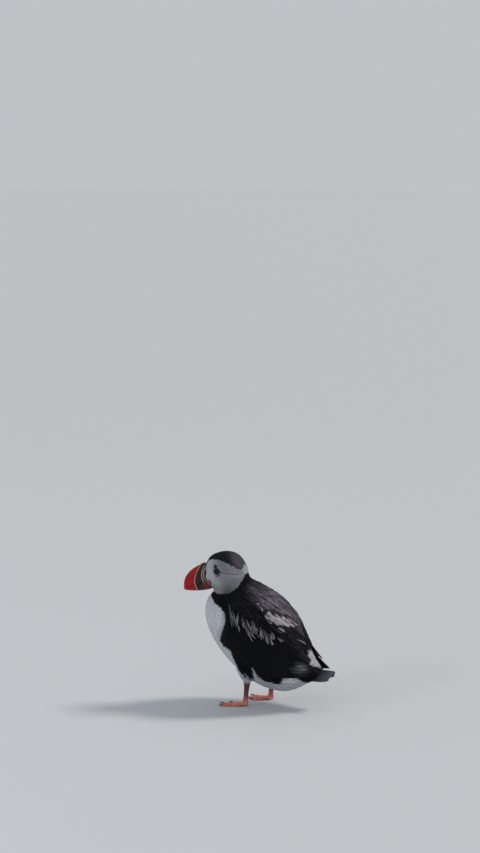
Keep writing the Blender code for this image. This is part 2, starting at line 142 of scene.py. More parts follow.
def line_distance(path, a, b):
    """The distance of plane places from a bent line, and how far along it they are, from 0 to 1."""
    best = np.full(np.shape(a), FAR)
    share = np.zeros(np.shape(a))
    lengths = [math.dist(p, q) for p, q in zip(path, path[1:])]
    done = 0.0
    for (a0, b0), (a1, b1), length in zip(path, path[1:], lengths):
        t = np.clip(((a - a0) * (a1 - a0) + (b - b0) * (b1 - b0)) / length**2, 0, 1)
        gap = np.hypot(a - a0 - t * (a1 - a0), b - b0 - t * (b1 - b0))
        nearer = gap < best
        best = np.where(nearer, gap, best)
        share = np.where(nearer, (done + t * length) / sum(lengths), share)
        done += length
    return best, share


# ---------------------------------------------------------------- markings

# The plumage's borders are drawn on a plane square to this direction, which looks at the left side from a
# little behind and above. There s runs towards the tail and t runs up. The right side mirrors the left.
LOOK_AZIMUTH, LOOK_ELEVATION = math.radians(110), math.radians(12)
LOOK_BACK = np.array(
    (
        math.sin(LOOK_AZIMUTH) * math.cos(LOOK_ELEVATION),
        -math.cos(LOOK_AZIMUTH) * math.cos(LOOK_ELEVATION),
        math.sin(LOOK_ELEVATION),
    )
)
LOOK_S = np.array((math.cos(LOOK_AZIMUTH), math.sin(LOOK_AZIMUTH), 0.0))
LOOK_T = np.cross(LOOK_BACK, LOOK_S)


def slant(points):
    """The s and t of places in the bird's frame."""
    folded = np.concatenate([np.abs(points[..., :1]), points[..., 1:]], -1)
    return folded @ LOOK_S, folded @ LOOK_T


WHITE = np.array((0.80, 0.82, 0.88))
BLACK = np.array((0.0030, 0.0029, 0.0062))
CHEEK = np.array((0.43, 0.425, 0.465))
CAP = np.array((0.018, 0.019, 0.026))
# Painted sheen on the rear of the black cap.
CAP_REAR_SHEEN = np.array((0.130, 0.105, 0.125))
# Painted sheen: the grey that the black mantle shows where light grazes it.
MANTLE_SHEEN = np.array((0.170, 0.142, 0.178))
# Painted sheen on a group of black scapulars that catches the light.
SCAPULAR_SHEEN = np.array((0.35, 0.325, 0.35))
# A pale grey: painted sheen on the black rump, and the streak of white feathers in the hem.
RUMP_SHEEN_AND_HEM_PALE = np.array((0.57, 0.565, 0.61))

# The dark upper side: collar, wing front, wrist, thigh patch, the wing's lower edge, then over the back.
DARK = [
    (-64, 157), (-64, 151), (-62, 146), (-59, 139), (-53, 135), (-49, 131), (-46, 128), (-43, 121),
    (-43, 113), (-46, 104), (-48, 97), (-50, 92), (-50, 86), (-48, 83), (-45, 79), (-38, 75),
    (-35, 72), (-34, 67), (-31, 60), (-27, 53), (-24, 46), (-21, 41), (-16, 36.5), (-10, 33.5),
    (-5, 32), (-3.5, 33), (-4, 37), (-5, 44), (-6, 52), (-4, 47), (-1, 42), (2, 38), (5, 35),
    (11, 32), (18, 30), (27, 28), (34, 29), (36, 33), (38, 36), (46, 36), (50, 38), (55, 36),
    (60, 33), (67, 30), (76, 31), (90, 33), (150, 33), (150, 300), (-90, 300), (-90, 157),
]
# The grey face, and the strip that it sends up behind the cap, which stands for painted highlight along the
# cap's rear edge.
FACE = [
    (-90, 160), (-90, 178), (-76, 190), (-71, 195), (-64, 199), (-59, 199.3), (-53, 198.6), (-48, 197),
    (-42, 194), (-36, 191), (-31, 188), (-26, 185.6), (-21, 185.9), (-19.5, 189), (-17.5, 193.5),
    (-9, 193.5), (-9, 184), (-16, 179), (-20.5, 170.5), (-24.8, 162.6), (-31, 156.3), (-39, 152.2),
    (-49, 151.3), (-56, 152.6), (-61.5, 156), (-66, 160),
]
# Painted shade on the skin and feathers of the corner that the eye sits in.
EYE_SHADOW_WEDGE = [(-58.9, 193.5), (-58.9, 180), (-49, 179.4), (-52.6, 183.2), (-55.2, 187.2), (-57, 191.5)]
EYE_SHADOW_TONE = np.array((0.030, 0.028, 0.034))
# The chin, which isn't part of the face: its half width and highest k. Then the cap's lowest k.
CHIN_HALF, CHIN_K, CAP_LOW_K = 6.0, -17.0, -6
# How far the markings' borders wander, and the least and most that a colour's parts can be.
EDGE_WANDER, COLOUR_RANGE = 0.7, (0.004, 0.9)
# Where the rear of the black cap takes painted sheen.
CROWN_REAR_SHEEN_PATCH = [(-37, 220), (0, 220), (-10, 200), (-17, 190), (-24, 184), (-31, 188), (-36, 202)]
# Where the black mantle takes painted sheen.
MANTLE_SHEEN_PATCH = [
    (-11, 166), (2, 176), (15, 165), (34, 154), (49, 142), (62, 126), (81, 92), (71, 88), (60, 100),
    (52, 110), (43, 121), (32, 125), (21, 128), (7, 130), (-7, 141), (-13, 155),
]
# Where the black scapulars take painted sheen.
SCAPULAR_SHEEN_PATCH = [
    (13, 125), (24, 122.5), (34, 119.5), (43, 116), (53.5, 105.5), (40, 107), (26, 109.5), (18, 114),
    (10, 120),
]
# The white belly between the thighs: its half width, and how high and how far back it reaches.
BELLY_HALF, BELLY_TOP, BELLY_REAR = 20.0, 75, 20
# Lines and patches of other tones: painted shade on the breast beside the wing, white feathers in the hem
# over the foot, a line between scapulars and coverts, and painted sheen on the rump and the left flank over
# the tail.
BREAST_SHADE = [(-44, 126), (-42, 115), (-45, 105), (-49, 92)]
BREAST_SHADE_TONE = np.array((0.20, 0.21, 0.25))
HEM_STREAK = [(-16.5, 41), (-12, 35.5), (-8, 31)]
SCAPULAR_LINE = [(11, 126), (20, 124.5), (31, 121), (39, 118.5)]
# Where the black rump takes painted sheen.
RUMP_SHEEN_PATCH = [(66, 76), (72, 73), (79, 67), (88, 59), (100, 48), (88, 49.5), (77, 52), (71, 60)]
FLANK_SHEEN_SPOT, FLANK_SHEEN_RADIUS = (61, 51), 6.0
# The fold behind the eye, in the head's h and k.
CREASE = [(-24.5, 1.2), (-31.0, -1.8), (-40.0, -5.6), (-48.0, -9.6), (-54.0, -11.0)]


def edged(polygon, s, t, soft):
    """1 inside a polygon and 0 outside, blurred over about soft mm."""
    shifts = [(0, 0), (soft, 0), (-soft, 0), (0, soft), (0, -soft)]
    return sum(inside(polygon, s + a, t + b).astype(float) for a, b in shifts) / len(shifts)


def flat(colour, points):
    """One colour at every place."""
    return np.tile(colour, (len(points), 1))


def blend(colour, tone, share):
    """colour, going over to tone where share is 1."""
    share = np.asarray(share)[..., None]
    return colour * (1 - share) + tone * share


def dark_side_sheen_and_marks(points, s, t):
    """The paler patches of the dark upper side, most of them painted sheen, each as its share at every place
    and its tone.
    """
    # Painted sheen on the mantle, fading towards the nape.
    mantle = edged(MANTLE_SHEEN_PATCH, s, t, 3.0) * (0.75 + 0.25 * noise(points, 5.0, 6))
    mantle = mantle * (0.35 + 0.65 * smooth_step(s, -4, 20))
    line, _ = line_distance(SCAPULAR_LINE, s, t)
    streak, _ = line_distance(HEM_STREAK, s, t)
    # Painted sheen: a soft pale spot on the left side over the tail.
    flank = bell(np.hypot(s - FLANK_SHEEN_SPOT[0], t - FLANK_SHEEN_SPOT[1]), FLANK_SHEEN_RADIUS)
    # The rump's painted sheen is a rounded wedge, narrow above and broad over the tail.
    half_wedge = 5 + 15 * smooth_step(-t, -74, -56) + 1.5 * noise(points, 4.0, 21)
    wedge = 1 - smooth_step(np.abs(points[:, 0]) - half_wedge, -1.5, 1.5)
    # Painted sheen on mantle, scapulars, rump and left flank; a black line; white feathers in the hem.
    return (
        (mantle, MANTLE_SHEEN),
        (edged(SCAPULAR_SHEEN_PATCH, s, t, 0.8), SCAPULAR_SHEEN),
        (bell(line, 1.7), BLACK),
        (edged(RUMP_SHEEN_PATCH, s, t, 1.0) * wedge, RUMP_SHEEN_AND_HEM_PALE),
        (0.7 * flank * (points[:, 0] > 0), RUMP_SHEEN_AND_HEM_PALE * 0.40),
        (bell(streak, 1.0), RUMP_SHEEN_AND_HEM_PALE),
    )


def face_tones(s, t, h, k):
    """The face's grey, palest before the eye, partly its own tone and partly painted light, and darker below
    with painted shade, with painted shade along a fold that runs back from the eye.
    """
    # Paler before the eye, partly its own tone and partly painted light; darker below as painted shade.
    tone = CHEEK * (1 + 0.75 * smooth_step(h, -30, -8) - 0.74 * smooth_step(-t, -171, -152))[:, None]
    above = smooth_step(k - (-1.8 - (-31 - h) * 0.42), -1.0, 5.0) * smooth_step(-h, 22, 30)
    tone = tone * (1 - 0.22 * above)[:, None]
    # Painted shade along the fold behind the eye.
    gap, share = line_distance(CREASE, h, k)
    tone = tone * (1 - 0.75 * bell(gap, 0.95) * (1 - 0.7 * share))[:, None]
    # Painted highlight: the strip behind the cap is brightened as if lit from behind.
    tone = tone * (1 + 1.1 * smooth_step(s, -23, -16) * smooth_step(t, 176, 184))[:, None]
    # Painted shade in the corner that the eye sits in.
    return blend(tone, EYE_SHADOW_TONE, 0.9 * edged(EYE_SHADOW_WEDGE, s, t, 0.7))


def plumage(points):
    """The plumage's colour at places near the bird's surface."""
    s, t = slant(points)
    s, t = (v + EDGE_WANDER * noise(points, 2.0, seed) for v, seed in ((s, 3), (t, 4)))
    h, x, k = head_parts(points)
    # Painted shade: the belly is a little greyer towards the legs and the vent, and the breast beside the
    # wing is greyer too.
    colour = flat(WHITE, points) * (1 - 0.30 * smooth_step(-t, -60, -25)[:, None])
    beside, _ = line_distance(BREAST_SHADE, s, t)
    colour = blend(colour, BREAST_SHADE_TONE, 0.45 * bell(beside, 5.0))
    # The middle of the belly, which the slanted plane hides, stays white between the thighs.
    between = (np.abs(x) < BELLY_HALF + noise(points, 3.0, 5)) & (t < BELLY_TOP) & (points[:, 1] < BELLY_REAR)
    dark = inside(DARK, s, t) & ~between
    colour = blend(colour, BLACK, np.where(between, 0, edged(DARK, s, t, 0.8)))
    for share, tone in dark_side_sheen_and_marks(points, s, t):
        colour = blend(colour, tone, np.where(dark, share, 0))
    face = inside(FACE, s, t) & ~((np.abs(x) < CHIN_HALF) & (k < CHIN_K))
    cap = dark & ~face & (head_nearness(points) > 0.5) & (k > CAP_LOW_K)
    colour[cap] = CAP
    # The rear of the cap is paler with painted sheen.
    colour[cap] = blend(colour, CAP_REAR_SHEEN, edged(CROWN_REAR_SHEEN_PATCH, s, t, 4.0))[cap]
    colour[face] = face_tones(s, t, h, k)[face]
    return np.clip(colour, *COLOUR_RANGE)


# The head as an egg in its own frame, and how deep the plumage is.
HEAD_MIDDLE, HEAD_REACH = (-29, 0, -1.5), (33.5, 29, 31.5)
BODY_COAT, HEAD_COAT = 2.1, 1.1


def head_nearness(points):
    """1 on the head and 0 beyond the neck."""
    parts = zip(head_parts(points), HEAD_MIDDLE, HEAD_REACH)
    far = np.sqrt(sum(((value - middle) / reach) ** 2 for value, middle, reach in parts))
    return 1 - smooth_step(far, 0.98, 1.10)


def eye_distance(points):
    h, x, k = head_parts(points)
    return np.sqrt((h - EYE_PLACE[0]) ** 2 + (np.abs(x) - EYE_PLACE[1] - 3) ** 2 + (k - EYE_PLACE[2]) ** 2)


def coat_depth(points):
    """How far the skin lies under the outside of the plumage, which thins out towards bill and eyes."""
    h, _, _ = head_parts(points)
    head = head_nearness(points)
    depth = BODY_COAT * (1 - head) + HEAD_COAT * head
    depth *= 0.35 + 0.65 * smooth_step(-h, 1, 9) * head + 0.65 * (1 - head)
    return depth * (0.4 + 0.6 * smooth_step(eye_distance(points), 5, 10))


# ---------------------------------------------------------------- materials

# A colour mix node's sockets.
MIX_ONE, MIX_TWO, MIX_RESULT = 6, 7, 2


class Nodes:
    """A short way to write a material's nodes."""

    def __init__(self, name, roughness, **inputs):
        self.material = bpy.data.materials.new(name)
        self.material.use_nodes = True
        self.tree = self.material.node_tree
        self.shader = self.tree.nodes["Principled BSDF"]
        self.shader.inputs["Roughness"].default_value = roughness
        for key, value in inputs.items():
            self.shader.inputs[key.replace("_", " ")].default_value = value

    def add(self, kind, *links, **settings):
        """A node of this kind. links are (input, socket) pairs."""
        node = self.tree.nodes.new(kind)
        for key, value in settings.items():
            if key in node.inputs:
                node.inputs[key].default_value = value
            else:
                setattr(node, key, value)
        for target, source in links:
            self.tree.links.new(source, node.inputs[target])
        return node

    def link(self, source, target):
        self.tree.links.new(source, self.shader.inputs[target])

    def texture(self, kind, output, **settings):
        """A texture that is laid by the piece's own place."""
        place = self.add("ShaderNodeTexCoord").outputs["Object"]
        return self.add(kind, ("Vector", place), **settings).outputs[output]

    def noise(self, scale, detail, **settings):
        return self.texture("ShaderNodeTexNoise", "Fac", Scale=scale, Detail=detail, **settings)

    def math(self, operation, one, two=0.5, clamp=False):
        """Arithmetic on one or two sockets or numbers."""
        node = self.add("ShaderNodeMath", operation=operation, use_clamp=clamp)
        for slot, value in enumerate((one, two)):
            if isinstance(value, (float, int)):
                node.inputs[slot].default_value = value
            else:
                self.tree.links.new(value, node.inputs[slot])
        return node.outputs[0]

    def line(self, value, times, plus):
        """value * times + plus."""
        return self.math("ADD", self.math("MULTIPLY", value, times), plus)

    def own_colours(self):
        return self.add("ShaderNodeAttribute", attribute_name="Col").outputs["Color"]

    def tint(self, shade):
        """Makes the base colour the mesh's own colours times a shade."""
        grey = self.add("ShaderNodeCombineColor", *((channel, shade) for channel in ("Red", "Green", "Blue")))
        links = (MIX_ONE, self.own_colours()), (MIX_TWO, grey.outputs["Color"])
        mix = self.add("ShaderNodeMix", *links, data_type="RGBA", blend_type="MULTIPLY", Factor=1.0)
        self.link(mix.outputs[MIX_RESULT], "Base Color")

    def bump(self, height, strength, distance_mm):
        node = self.add("ShaderNodeBump", ("Height", height), Strength=strength, Distance=distance_mm * MM)
        self.link(node.outputs["Normal"], "Normal")


BARB_SLANT, BARB_DEPTH = 0.9, 0.28
# How many times wider a feather's half is than its shaft, and how much darker the shaft is.
SHAFT_THINNESS, SHAFT_DARK = 14.0, 0.18


def feather_material(name, roughness, sheen, barbs, specular):
    """A vane: barbs slant from a shaft, and the tint comes from the feather's own colour."""
    n = Nodes(name, roughness, Sheen_Weight=sheen, Sheen_Roughness=0.45, Specular_IOR_Level=specular)
    vane = n.add("ShaderNodeUVMap", uv_map="Vane").outputs["UV"]
    parts = n.add("ShaderNodeSeparateXYZ", ("Vector", vane)).outputs
    across = n.math("ABSOLUTE", n.math("SUBTRACT", parts["X"], 0.5))
    slanted = n.line(across, -BARB_SLANT, parts["Y"])
    ripple = n.math("SINE", n.math("MULTIPLY", slanted, barbs * 6.283))
    barb = n.line(ripple, BARB_DEPTH, n.noise(900.0, 3.0))
    shaft = n.math("SUBTRACT", 1.0, n.math("MULTIPLY", across, SHAFT_THINNESS), clamp=True)
    n.tint(n.line(shaft, -SHAFT_DARK, n.line(barb, 0.30, 0.78)))
    n.bump(n.math("ADD", barb, shaft), 0.5, 0.12)
    return n.material


def skin_material():
    """Down and bare skin under the feathers, in the plumage's own markings."""
    n = Nodes("skin", 0.85, Sheen_Weight=0.05, Sheen_Roughness=0.6, Specular_IOR_Level=0.2)
    down = n.noise(1400.0, 4.0)
    n.tint(n.line(down, 0.5, 0.6))
    n.bump(down, 0.6, 0.3)
    return n.material


def leg_material():
    """Bare leg skin: small plates with darker joints between them."""
    n = Nodes("leg_scutes", 0.45, Subsurface_Weight=0.12, Subsurface_Scale=0.6 * MM, Specular_IOR_Level=0.3)
    edges = n.texture("ShaderNodeTexVoronoi", "Distance", Scale=1050.0, feature="DISTANCE_TO_EDGE")
    plates = n.math("MULTIPLY", edges, 5.0, clamp=True)
    patches = n.noise(170.0, 3.0)
    n.tint(n.math("ADD", n.line(plates, 0.30, n.math("MULTIPLY", patches, 0.55)), 0.42))
    n.bump(plates, 0.7, 0.18)
    return n.material


def horn_material(name, roughness, grain, scale):
    """Waxy horn with fine growth lines, tinted by its own colour."""
    n = Nodes(name, roughness, Coat_Weight=0.04, Coat_Roughness=0.25, Specular_IOR_Level=0.2)
    blotch = n.noise(scale, 5.0, Roughness=0.6)
    fine = n.noise(2600.0, 3.0)
    n.tint(n.line(blotch, grain * 2, 1 - grain))
    n.bump(n.math("ADD", blotch, n.math("MULTIPLY", fine, 0.4)), 0.25, 0.15)
    n.link(n.line(fine, 0.2, roughness - 0.1), "Roughness")
    return n.material


# ---------------------------------------------------------------- meshes


def linked(name, data):
    """A new object in the scene."""
    obj = bpy.data.objects.new(name, data)
    bpy.context.scene.collection.objects.link(obj)
    return obj


def dressed(obj, slot, *replaced):
    """Hands a finished piece to the frame: it rides on the body and may stand for CAD nodes."""
    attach(obj, "root")
    if replaced:
        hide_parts(*replaced)


def finished(mesh, *looks):
    """Gives a mesh its materials and smooth shading."""
    mesh.materials.clear()
    for look in looks:
        mesh.materials.append(look)
    mesh.polygons.foreach_set("use_smooth", np.ones(len(mesh.polygons), bool))


def mesh_object(name, points, faces, look, colours, uvs=()):
    """An object from places in the bird's frame.

    faces is a list of whole-number arrays of faces with the same number of corners. uvs are pairs of a
    name and one pair of numbers for each point.
    """
    mesh = bpy.data.meshes.new(name)
    loops = np.concatenate([f.ravel() for f in faces]).astype(np.int32)
    sizes = np.concatenate([np.full(len(f), f.shape[1]) for f in faces]).astype(np.int32)
    mesh.vertices.add(len(points))
    mesh.vertices.foreach_set("co", to_world(points).astype(np.float32).ravel())
    mesh.loops.add(len(loops))
    mesh.loops.foreach_set("vertex_index", loops)
    mesh.polygons.add(len(sizes))
    mesh.polygons.foreach_set("loop_start", np.concatenate(([0], np.cumsum(sizes)[:-1])).astype(np.int32))
    mesh.polygons.foreach_set("loop_total", sizes)
    mesh.update(calc_edges=True)
    paint(mesh, colours)
    for key, values in uvs:
        layer = mesh.uv_layers.new(name=key)
        layer.data.foreach_set("uv", values[loops].astype(np.float32).ravel())
    finished(mesh, look)
    return linked(name, mesh)


def paint(mesh, colours):
    """Gives a mesh one colour for each point."""
    layer = mesh.color_attributes.new("Col", "FLOAT_COLOR", "POINT")
    rgba = np.concatenate([np.clip(colours, 0, 1), np.ones((len(colours), 1))], 1)
    layer.data.foreach_set("color", rgba.astype(np.float32).ravel())


def tube_faces(rings, around):
    """Faces over rings of points that lie one after another, with flat ends."""
    i, j = np.meshgrid(np.arange(rings - 1), np.arange(around), indexing="ij")
    k = (j + 1) % around
    quads = np.stack([i * around + j, i * around + k, (i + 1) * around + k, (i + 1) * around + j], -1)
    first = np.arange(around)[::-1]
    return [quads.reshape(-1, 4), np.stack([first, first[::-1] + (rings - 1) * around])]


def turned(faces, swapped):
    """Faces that look the other way round where swapped."""
    return [f[:, ::-1] for f in faces] if swapped else faces


def vectors(items, key):
    """Rows of three numbers, one for each vertex or face."""
    out = np.empty(len(items) * 3)
    items.foreach_get(key, out)
    return out.reshape(-1, 3)


def bird_places(items, key="co"):
    """The places of vertices or faces in the bird's frame."""
    return vectors(items, key) / MM - SHIFT


def move(mesh, points):
    """Puts a mesh's vertices at places in the bird's frame."""
    mesh.vertices.foreach_set("co", to_world(points).ravel())
    mesh.update()


def applied(obj):
    """The object's mesh as its modifiers leave it. The object is removed."""
    bpy.context.view_layer.update()
    mesh = bpy.data.meshes.new_from_object(obj.evaluated_get(bpy.context.evaluated_depsgraph_get()))
    bpy.data.objects.remove(obj)
    return mesh


def mesh_from(name, bm):
    """A bmesh written to a new mesh. The bmesh is freed."""
    mesh = bpy.data.meshes.new(name)
    bm.to_mesh(mesh)
    bm.free()
    return mesh


def absorb(bm, other):
    """Adds all that another bmesh holds. The other is freed."""
    mesh = mesh_from("copy", other)
    bm.from_mesh(mesh)
    bpy.data.meshes.remove(mesh)


def node_copy(name):
    """A CAD node's shape as a bmesh, with its coincident corners welded."""
    bm = bmesh.new()
    bm.from_mesh(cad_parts[name].data)
    bmesh.ops.remove_doubles(bm, verts=bm.verts, dist=WELD * MM)
    return bm


def loop_of(bm, points):
    """Vertices at places in the bird's frame."""
    return [bm.verts.new(p) for p in to_world(points)]


def bridge(bm, loops):
    """Faces between closed loops of vertices that lie one after another."""
    for one, two in zip(loops, loops[1:]):
        for i in range(len(one)):
            bm.faces.new((one[i - 1], one[i], two[i], two[i - 1]))


# ---------------------------------------------------------------- skin

BODY_FLESH = ["head", "neck", "back", "trunk", "wing_left", "wing_right", "thigh_left", "thigh_right"]
LEG_FLESH = ["tarsus_left", "tarsus_right", "foot_left", "foot_right"]
SKIN_GROW, SLEEVE_GROW, WELD = 0.5, 1.5, 0.02
SKIN_VOXEL, SKIN_SMOOTHING = 1.2, 8
LEG_VOXEL, LEG_SMOOTHING = 0.44, 2
# How far forward the face's feathers reach on the bill's base. There two planes cut the bill off short,
# each given by the direction that it faces in the head's h and k.
FEATHER_REACH, SLEEVE_CUTS = 3.9, ((16.9, 10.8), (16.0, -2.6))
# The ball that fills an eye's socket: how much larger than the eye it is, and how much deeper it lies.
PLUG_SWELL, PLUG_SINK = 0.8, 1.2
# The furrow behind the eye, along CREASE.
FURROW_WIDTH, FURROW_DEPTH = 1.5, 0.9


def remeshed(name, bm, voxel_mm, smoothing):
    """One smooth closed surface round all that bm holds."""
    obj = linked(name, mesh_from(name, bm))
    step = obj.modifiers.new("remesh", "REMESH")
    step.mode = "VOXEL"
    step.voxel_size = voxel_mm * MM
    step = obj.modifiers.new("smooth", "SMOOTH")
    step.factor = 0.5
    step.iterations = smoothing
    return applied(obj)


def grown_nodes(names, grow_mm):
    """Copies of CAD nodes in one bmesh, each swollen so that neighbours run together."""
    bm = bmesh.new()
    for name in names:
        part = node_copy(name)
        bmesh.ops.recalc_face_normals(part, faces=part.faces)
        part.normal_update()
        for vertex, push in [(v, v.normal * grow_mm * MM) for v in part.verts]:
            vertex.co += push
        absorb(bm, part)
    return bm


def feather_edge(k):
    """How far forward the face's feathers reach at heights k, less towards culmen and chin."""
    k = np.clip(k, -16, 16.5)
    return FEATHER_REACH - np.where(k > 0, 0.036, 0.010) * k**2


def bill_sleeve():
    """The first few mm of the bill, swollen, which the face's skin runs out over."""
    bm = grown_nodes(("bill_upper", "bill_lower"), SLEEVE_GROW)
    place = Vector(to_world(head_place(FEATHER_REACH, 0, 0)))
    for way_h, way_k in SLEEVE_CUTS:
        away = Vector(way_h * HEAD_H + way_k * HEAD_K)
        geometry = list(bm.verts) + list(bm.edges) + list(bm.faces)
        bmesh.ops.bisect_plane(bm, geom=geometry, plane_co=place, plane_no=away, clear_outer=True, dist=1e-7)
        bmesh.ops.holes_fill(bm, edges=list(bm.edges), sides=0)
    return bm


def body_skin():
    """The skin of head, neck, trunk, wings and thighs, under the plumage by its depth."""
    bm = grown_nodes(BODY_FLESH, SKIN_GROW)
    absorb(bm, bill_sleeve())
    h, x, k = EYE_PLACE
    for sign in SIDES.values():
        # A plug fills the eye's socket, which the lids then close round the eye.
        place = Vector(to_world(head_place(h, sign * (x - PLUG_SINK), k)))
        reach = (EYE_RADIUS + PLUG_SWELL) * MM
        ball = bmesh.ops.create_uvsphere(bm, u_segments=24, v_segments=16, radius=reach)
        bmesh.ops.translate(bm, vec=place, verts=ball["verts"])
    mesh = remeshed("skin", bm, SKIN_VOXEL, SKIN_SMOOTHING)
    points, normals = bird_places(mesh.vertices), vectors(mesh.vertices, "normal")
    points -= normals * (SKIN_GROW + coat_depth(points))[:, None]
    # A furrow runs back from the eye over the cheek.
    h, _, k = head_parts(points)
    gap, share = line_distance(CREASE, h, k)
    furrow = bell(gap, FURROW_WIDTH) * FURROW_DEPTH * (1 - 0.6 * share) * (head_nearness(points) > 0.5)
    move(mesh, points - normals * furrow[:, None])
    return mesh


# Legs, as the solids have them: each side's foot y, ankle y and lowest feather's z.
LEG_SPREAD = 24.0
LEGS = {"left": (-8.5, -5.5, 34.0), "right": (12.0, 14.0, 27.5)}
ANKLE_Z = 34.0
# Each toe's length, its turn outwards in degrees and its joints.
TOES = {"inner": (26.0, -25.0, 2), "middle": (33.5, -3.0, 3), "outer": (32.0, 20.0, 4)}
TOE_ROOT_RADIUS, TOE_TIP_RADIUS = 2.55, 1.55
CLAW_LENGTH = 7.6
LEG_ORANGE = np.array((0.74, 0.22, 0.165))
# Painted shade that darkens the legs upwards under the body.
LEG_SHADE = np.array((0.075, 0.038, 0.034))
WEB_ORANGE = np.array((0.80, 0.29, 0.17))
# The eye ring's red, darkened nearly to black as painted shade.
EYE_RING_SHADED = np.array((0.022, 0.005, 0.005))


def toe_ahead(toe, sign):
    turn = math.radians(TOES[toe][1]) * sign
    return np.array((math.sin(turn), -math.cos(turn), 0.0))


def toe_path(toe, side, share):
    """A place along a toe's middle line, and its radius, which swells at the joints."""
    sign = SIDES[side]
    length, _, joints = TOES[toe]
    root = np.array((sign * LEG_SPREAD, LEGS[side][0], 0.0))
    radius = TOE_ROOT_RADIUS + (TOE_TIP_RADIUS - TOE_ROOT_RADIUS) * share
    radius = radius * (1 + 0.10 * np.cos(2 * math.pi * share * joints) * smooth_step(share, 0.1, 0.3))
    radius = radius * (1 - 0.35 * smooth_step(share, 0.93, 1.0))
    height = radius * 0.80 + 2.0 * (1 - share) ** 3
    place = root + toe_ahead(toe, sign) * (length * share)[..., None]
    place[..., 2] += height
    return place, radius


def ring_tube(bm, centres, radii_a, radii_b, way_a, way_b, around):
    """Adds a tube of elliptical rings, whose radii lie along two directions."""
    turns = circle(around)
    loops = []
    for centre, a, b in zip(centres, radii_a, radii_b):
        ring = centre + np.outer(np.cos(turns) * a, way_a) + np.outer(np.sin(turns) * b, way_b)
        loops.append(loop_of(bm, ring))
    bridge(bm, loops)
    bm.faces.new(loops[0])
    bm.faces.new(loops[-1][::-1])


# The web's thickness, its height at its middle, and its shares of the toes' length at root, side and middle.
WEB_THICK, WEB_HEIGHT, WEB_ROOT, WEB_REACH, WEB_SCOOP = 0.95, 1.05, 0.04, 0.94, 0.14
WEB_LOWEST, WEB_PLEATS, PLEAT_HEIGHT, WEB_SAG = 0.30, 7, 0.16, 0.25
WEB_STEPS, WEB_ACROSS = 26, 14


def web_sheet(bm, side, one, two):
    """The web between two toes, pleated along them and scooped at its free edge."""
    rims = []
    for face in (-1, 1):
        grid = []
        for a in np.arange(WEB_STEPS + 1) / WEB_STEPS:
            row = []
            for b in np.arange(WEB_ACROSS + 1) / WEB_ACROSS:
                bow = math.sin(math.pi * b)
                share = np.array(WEB_ROOT + (WEB_REACH - WEB_SCOOP * bow - WEB_ROOT) * a)
                place = toe_path(one, side, share)[0] * (1 - b) + toe_path(two, side, share)[0] * b
                height = WEB_HEIGHT + PLEAT_HEIGHT * math.sin(b * math.pi * WEB_PLEATS) * a - WEB_SAG * bow
                place[2] = max(WEB_LOWEST, height) + face * WEB_THICK / 2 * (1 - 0.35 * a)
                row.append(bm.verts.new(to_world(place)))
            grid.append(row)
        for near, far in zip(grid, grid[1:]):
            for corners in zip(near, near[1:], far[1:], far):
                bm.faces.new(corners)
        sides = [row[-1] for row in grid[1:-1]], [row[0] for row in grid[-2:0:-1]]
        rims.append(grid[0] + sides[0] + grid[-1][::-1] + sides[1])
    bridge(bm, rims)


# A leg's rows: (share of the height of its feathers' hem, half width, half depth).
LEG_ROWS = (
    (0, 3.7, 4.5), (0.15, 3.6, 4.4), (0.32, 2.9, 3.7), (0.55, 2.55, 3.35), (0.80, 2.9, 3.8), (0.95, 3.7, 4.7),
    (1.3, 4.6, 5.6),
)
LEG_RINGS, LEG_FOOT, LEG_PAST_HEM = 60, 1.8, 9.0
# How far apart the plates of scales are, on the legs and on the toes, and how far they stand out.
SCUTE_LEG, SCUTE_LEG_RISE, SCUTE_TOE, SCUTE_TOE_RISE = 1.9, 0.022, 1.7, 0.035


def leg_skin(side):
    """A bare leg and its webbed foot, with scutes raised over the toes and down the front of the leg."""
    sign = SIDES[side]
    foot_y, ankle_y, hem = LEGS[side]
    bm = bmesh.new()
    heights = np.linspace(LEG_FOOT, hem + LEG_PAST_HEM, LEG_RINGS)
    shares, widths, depths = zip(*LEG_ROWS)
    ripple = 1 + SCUTE_LEG_RISE * np.sin(heights * 2 * math.pi / SCUTE_LEG)
    width, depth = (np.interp(np.clip(heights / hem, 0, 1.3), shares, v) * ripple for v in (widths, depths))
    middle_y = foot_y + (ankle_y - foot_y) * heights / ANKLE_Z
    centres = np.stack([np.full(LEG_RINGS, sign * LEG_SPREAD), middle_y, heights], 1)
    ring_tube(bm, centres, width, depth, (1.0, 0, 0), (0, 1.0, 0), 24)
    for toe, (length, _, _) in TOES.items():
        share = np.linspace(0, 1, 64)
        path, radius = toe_path(toe, side, share)
        radius = radius * (1 + SCUTE_TOE_RISE * np.sin(share * length * 2 * math.pi / SCUTE_TOE))
        ring_tube(bm, path, radius, radius * 0.92, np.cross(UP, toe_ahead(toe, sign)), UP, 18)
    web_sheet(bm, side, "inner", "middle")
    web_sheet(bm, side, "middle", "outer")
    mesh = remeshed(f"leg_{side}", bm, LEG_VOXEL, LEG_SMOOTHING)
    places = vectors(mesh.vertices, "co")
    places[:, 2] = np.maximum(places[:, 2], 0)
    mesh.vertices.foreach_set("co", places.ravel())
    mesh.update()
    return mesh


# An eye ring's rows: (radius from the eye's middle, distance out from the eyeball's middle).
LID_ROWS = (
    (3.20, 2.8), (3.35, 3.75), (3.60, 4.15), (3.95, 4.15), (4.30, 3.75), (4.55, 3.45), (4.85, 3.45),
    (5.20, 3.05), (5.9, 2.3), (6.9, 1.3), (6.4, -1.0),
)
LID_AROUND, LID_LIP = 64, 4.2
# Wrinkles round the ring: how many, how deep for its radius, and the radii between which they lie.
WRINKLES, WRINKLE_DEPTH, WRINKLED = 19, 0.016, (3.5, 5.5)


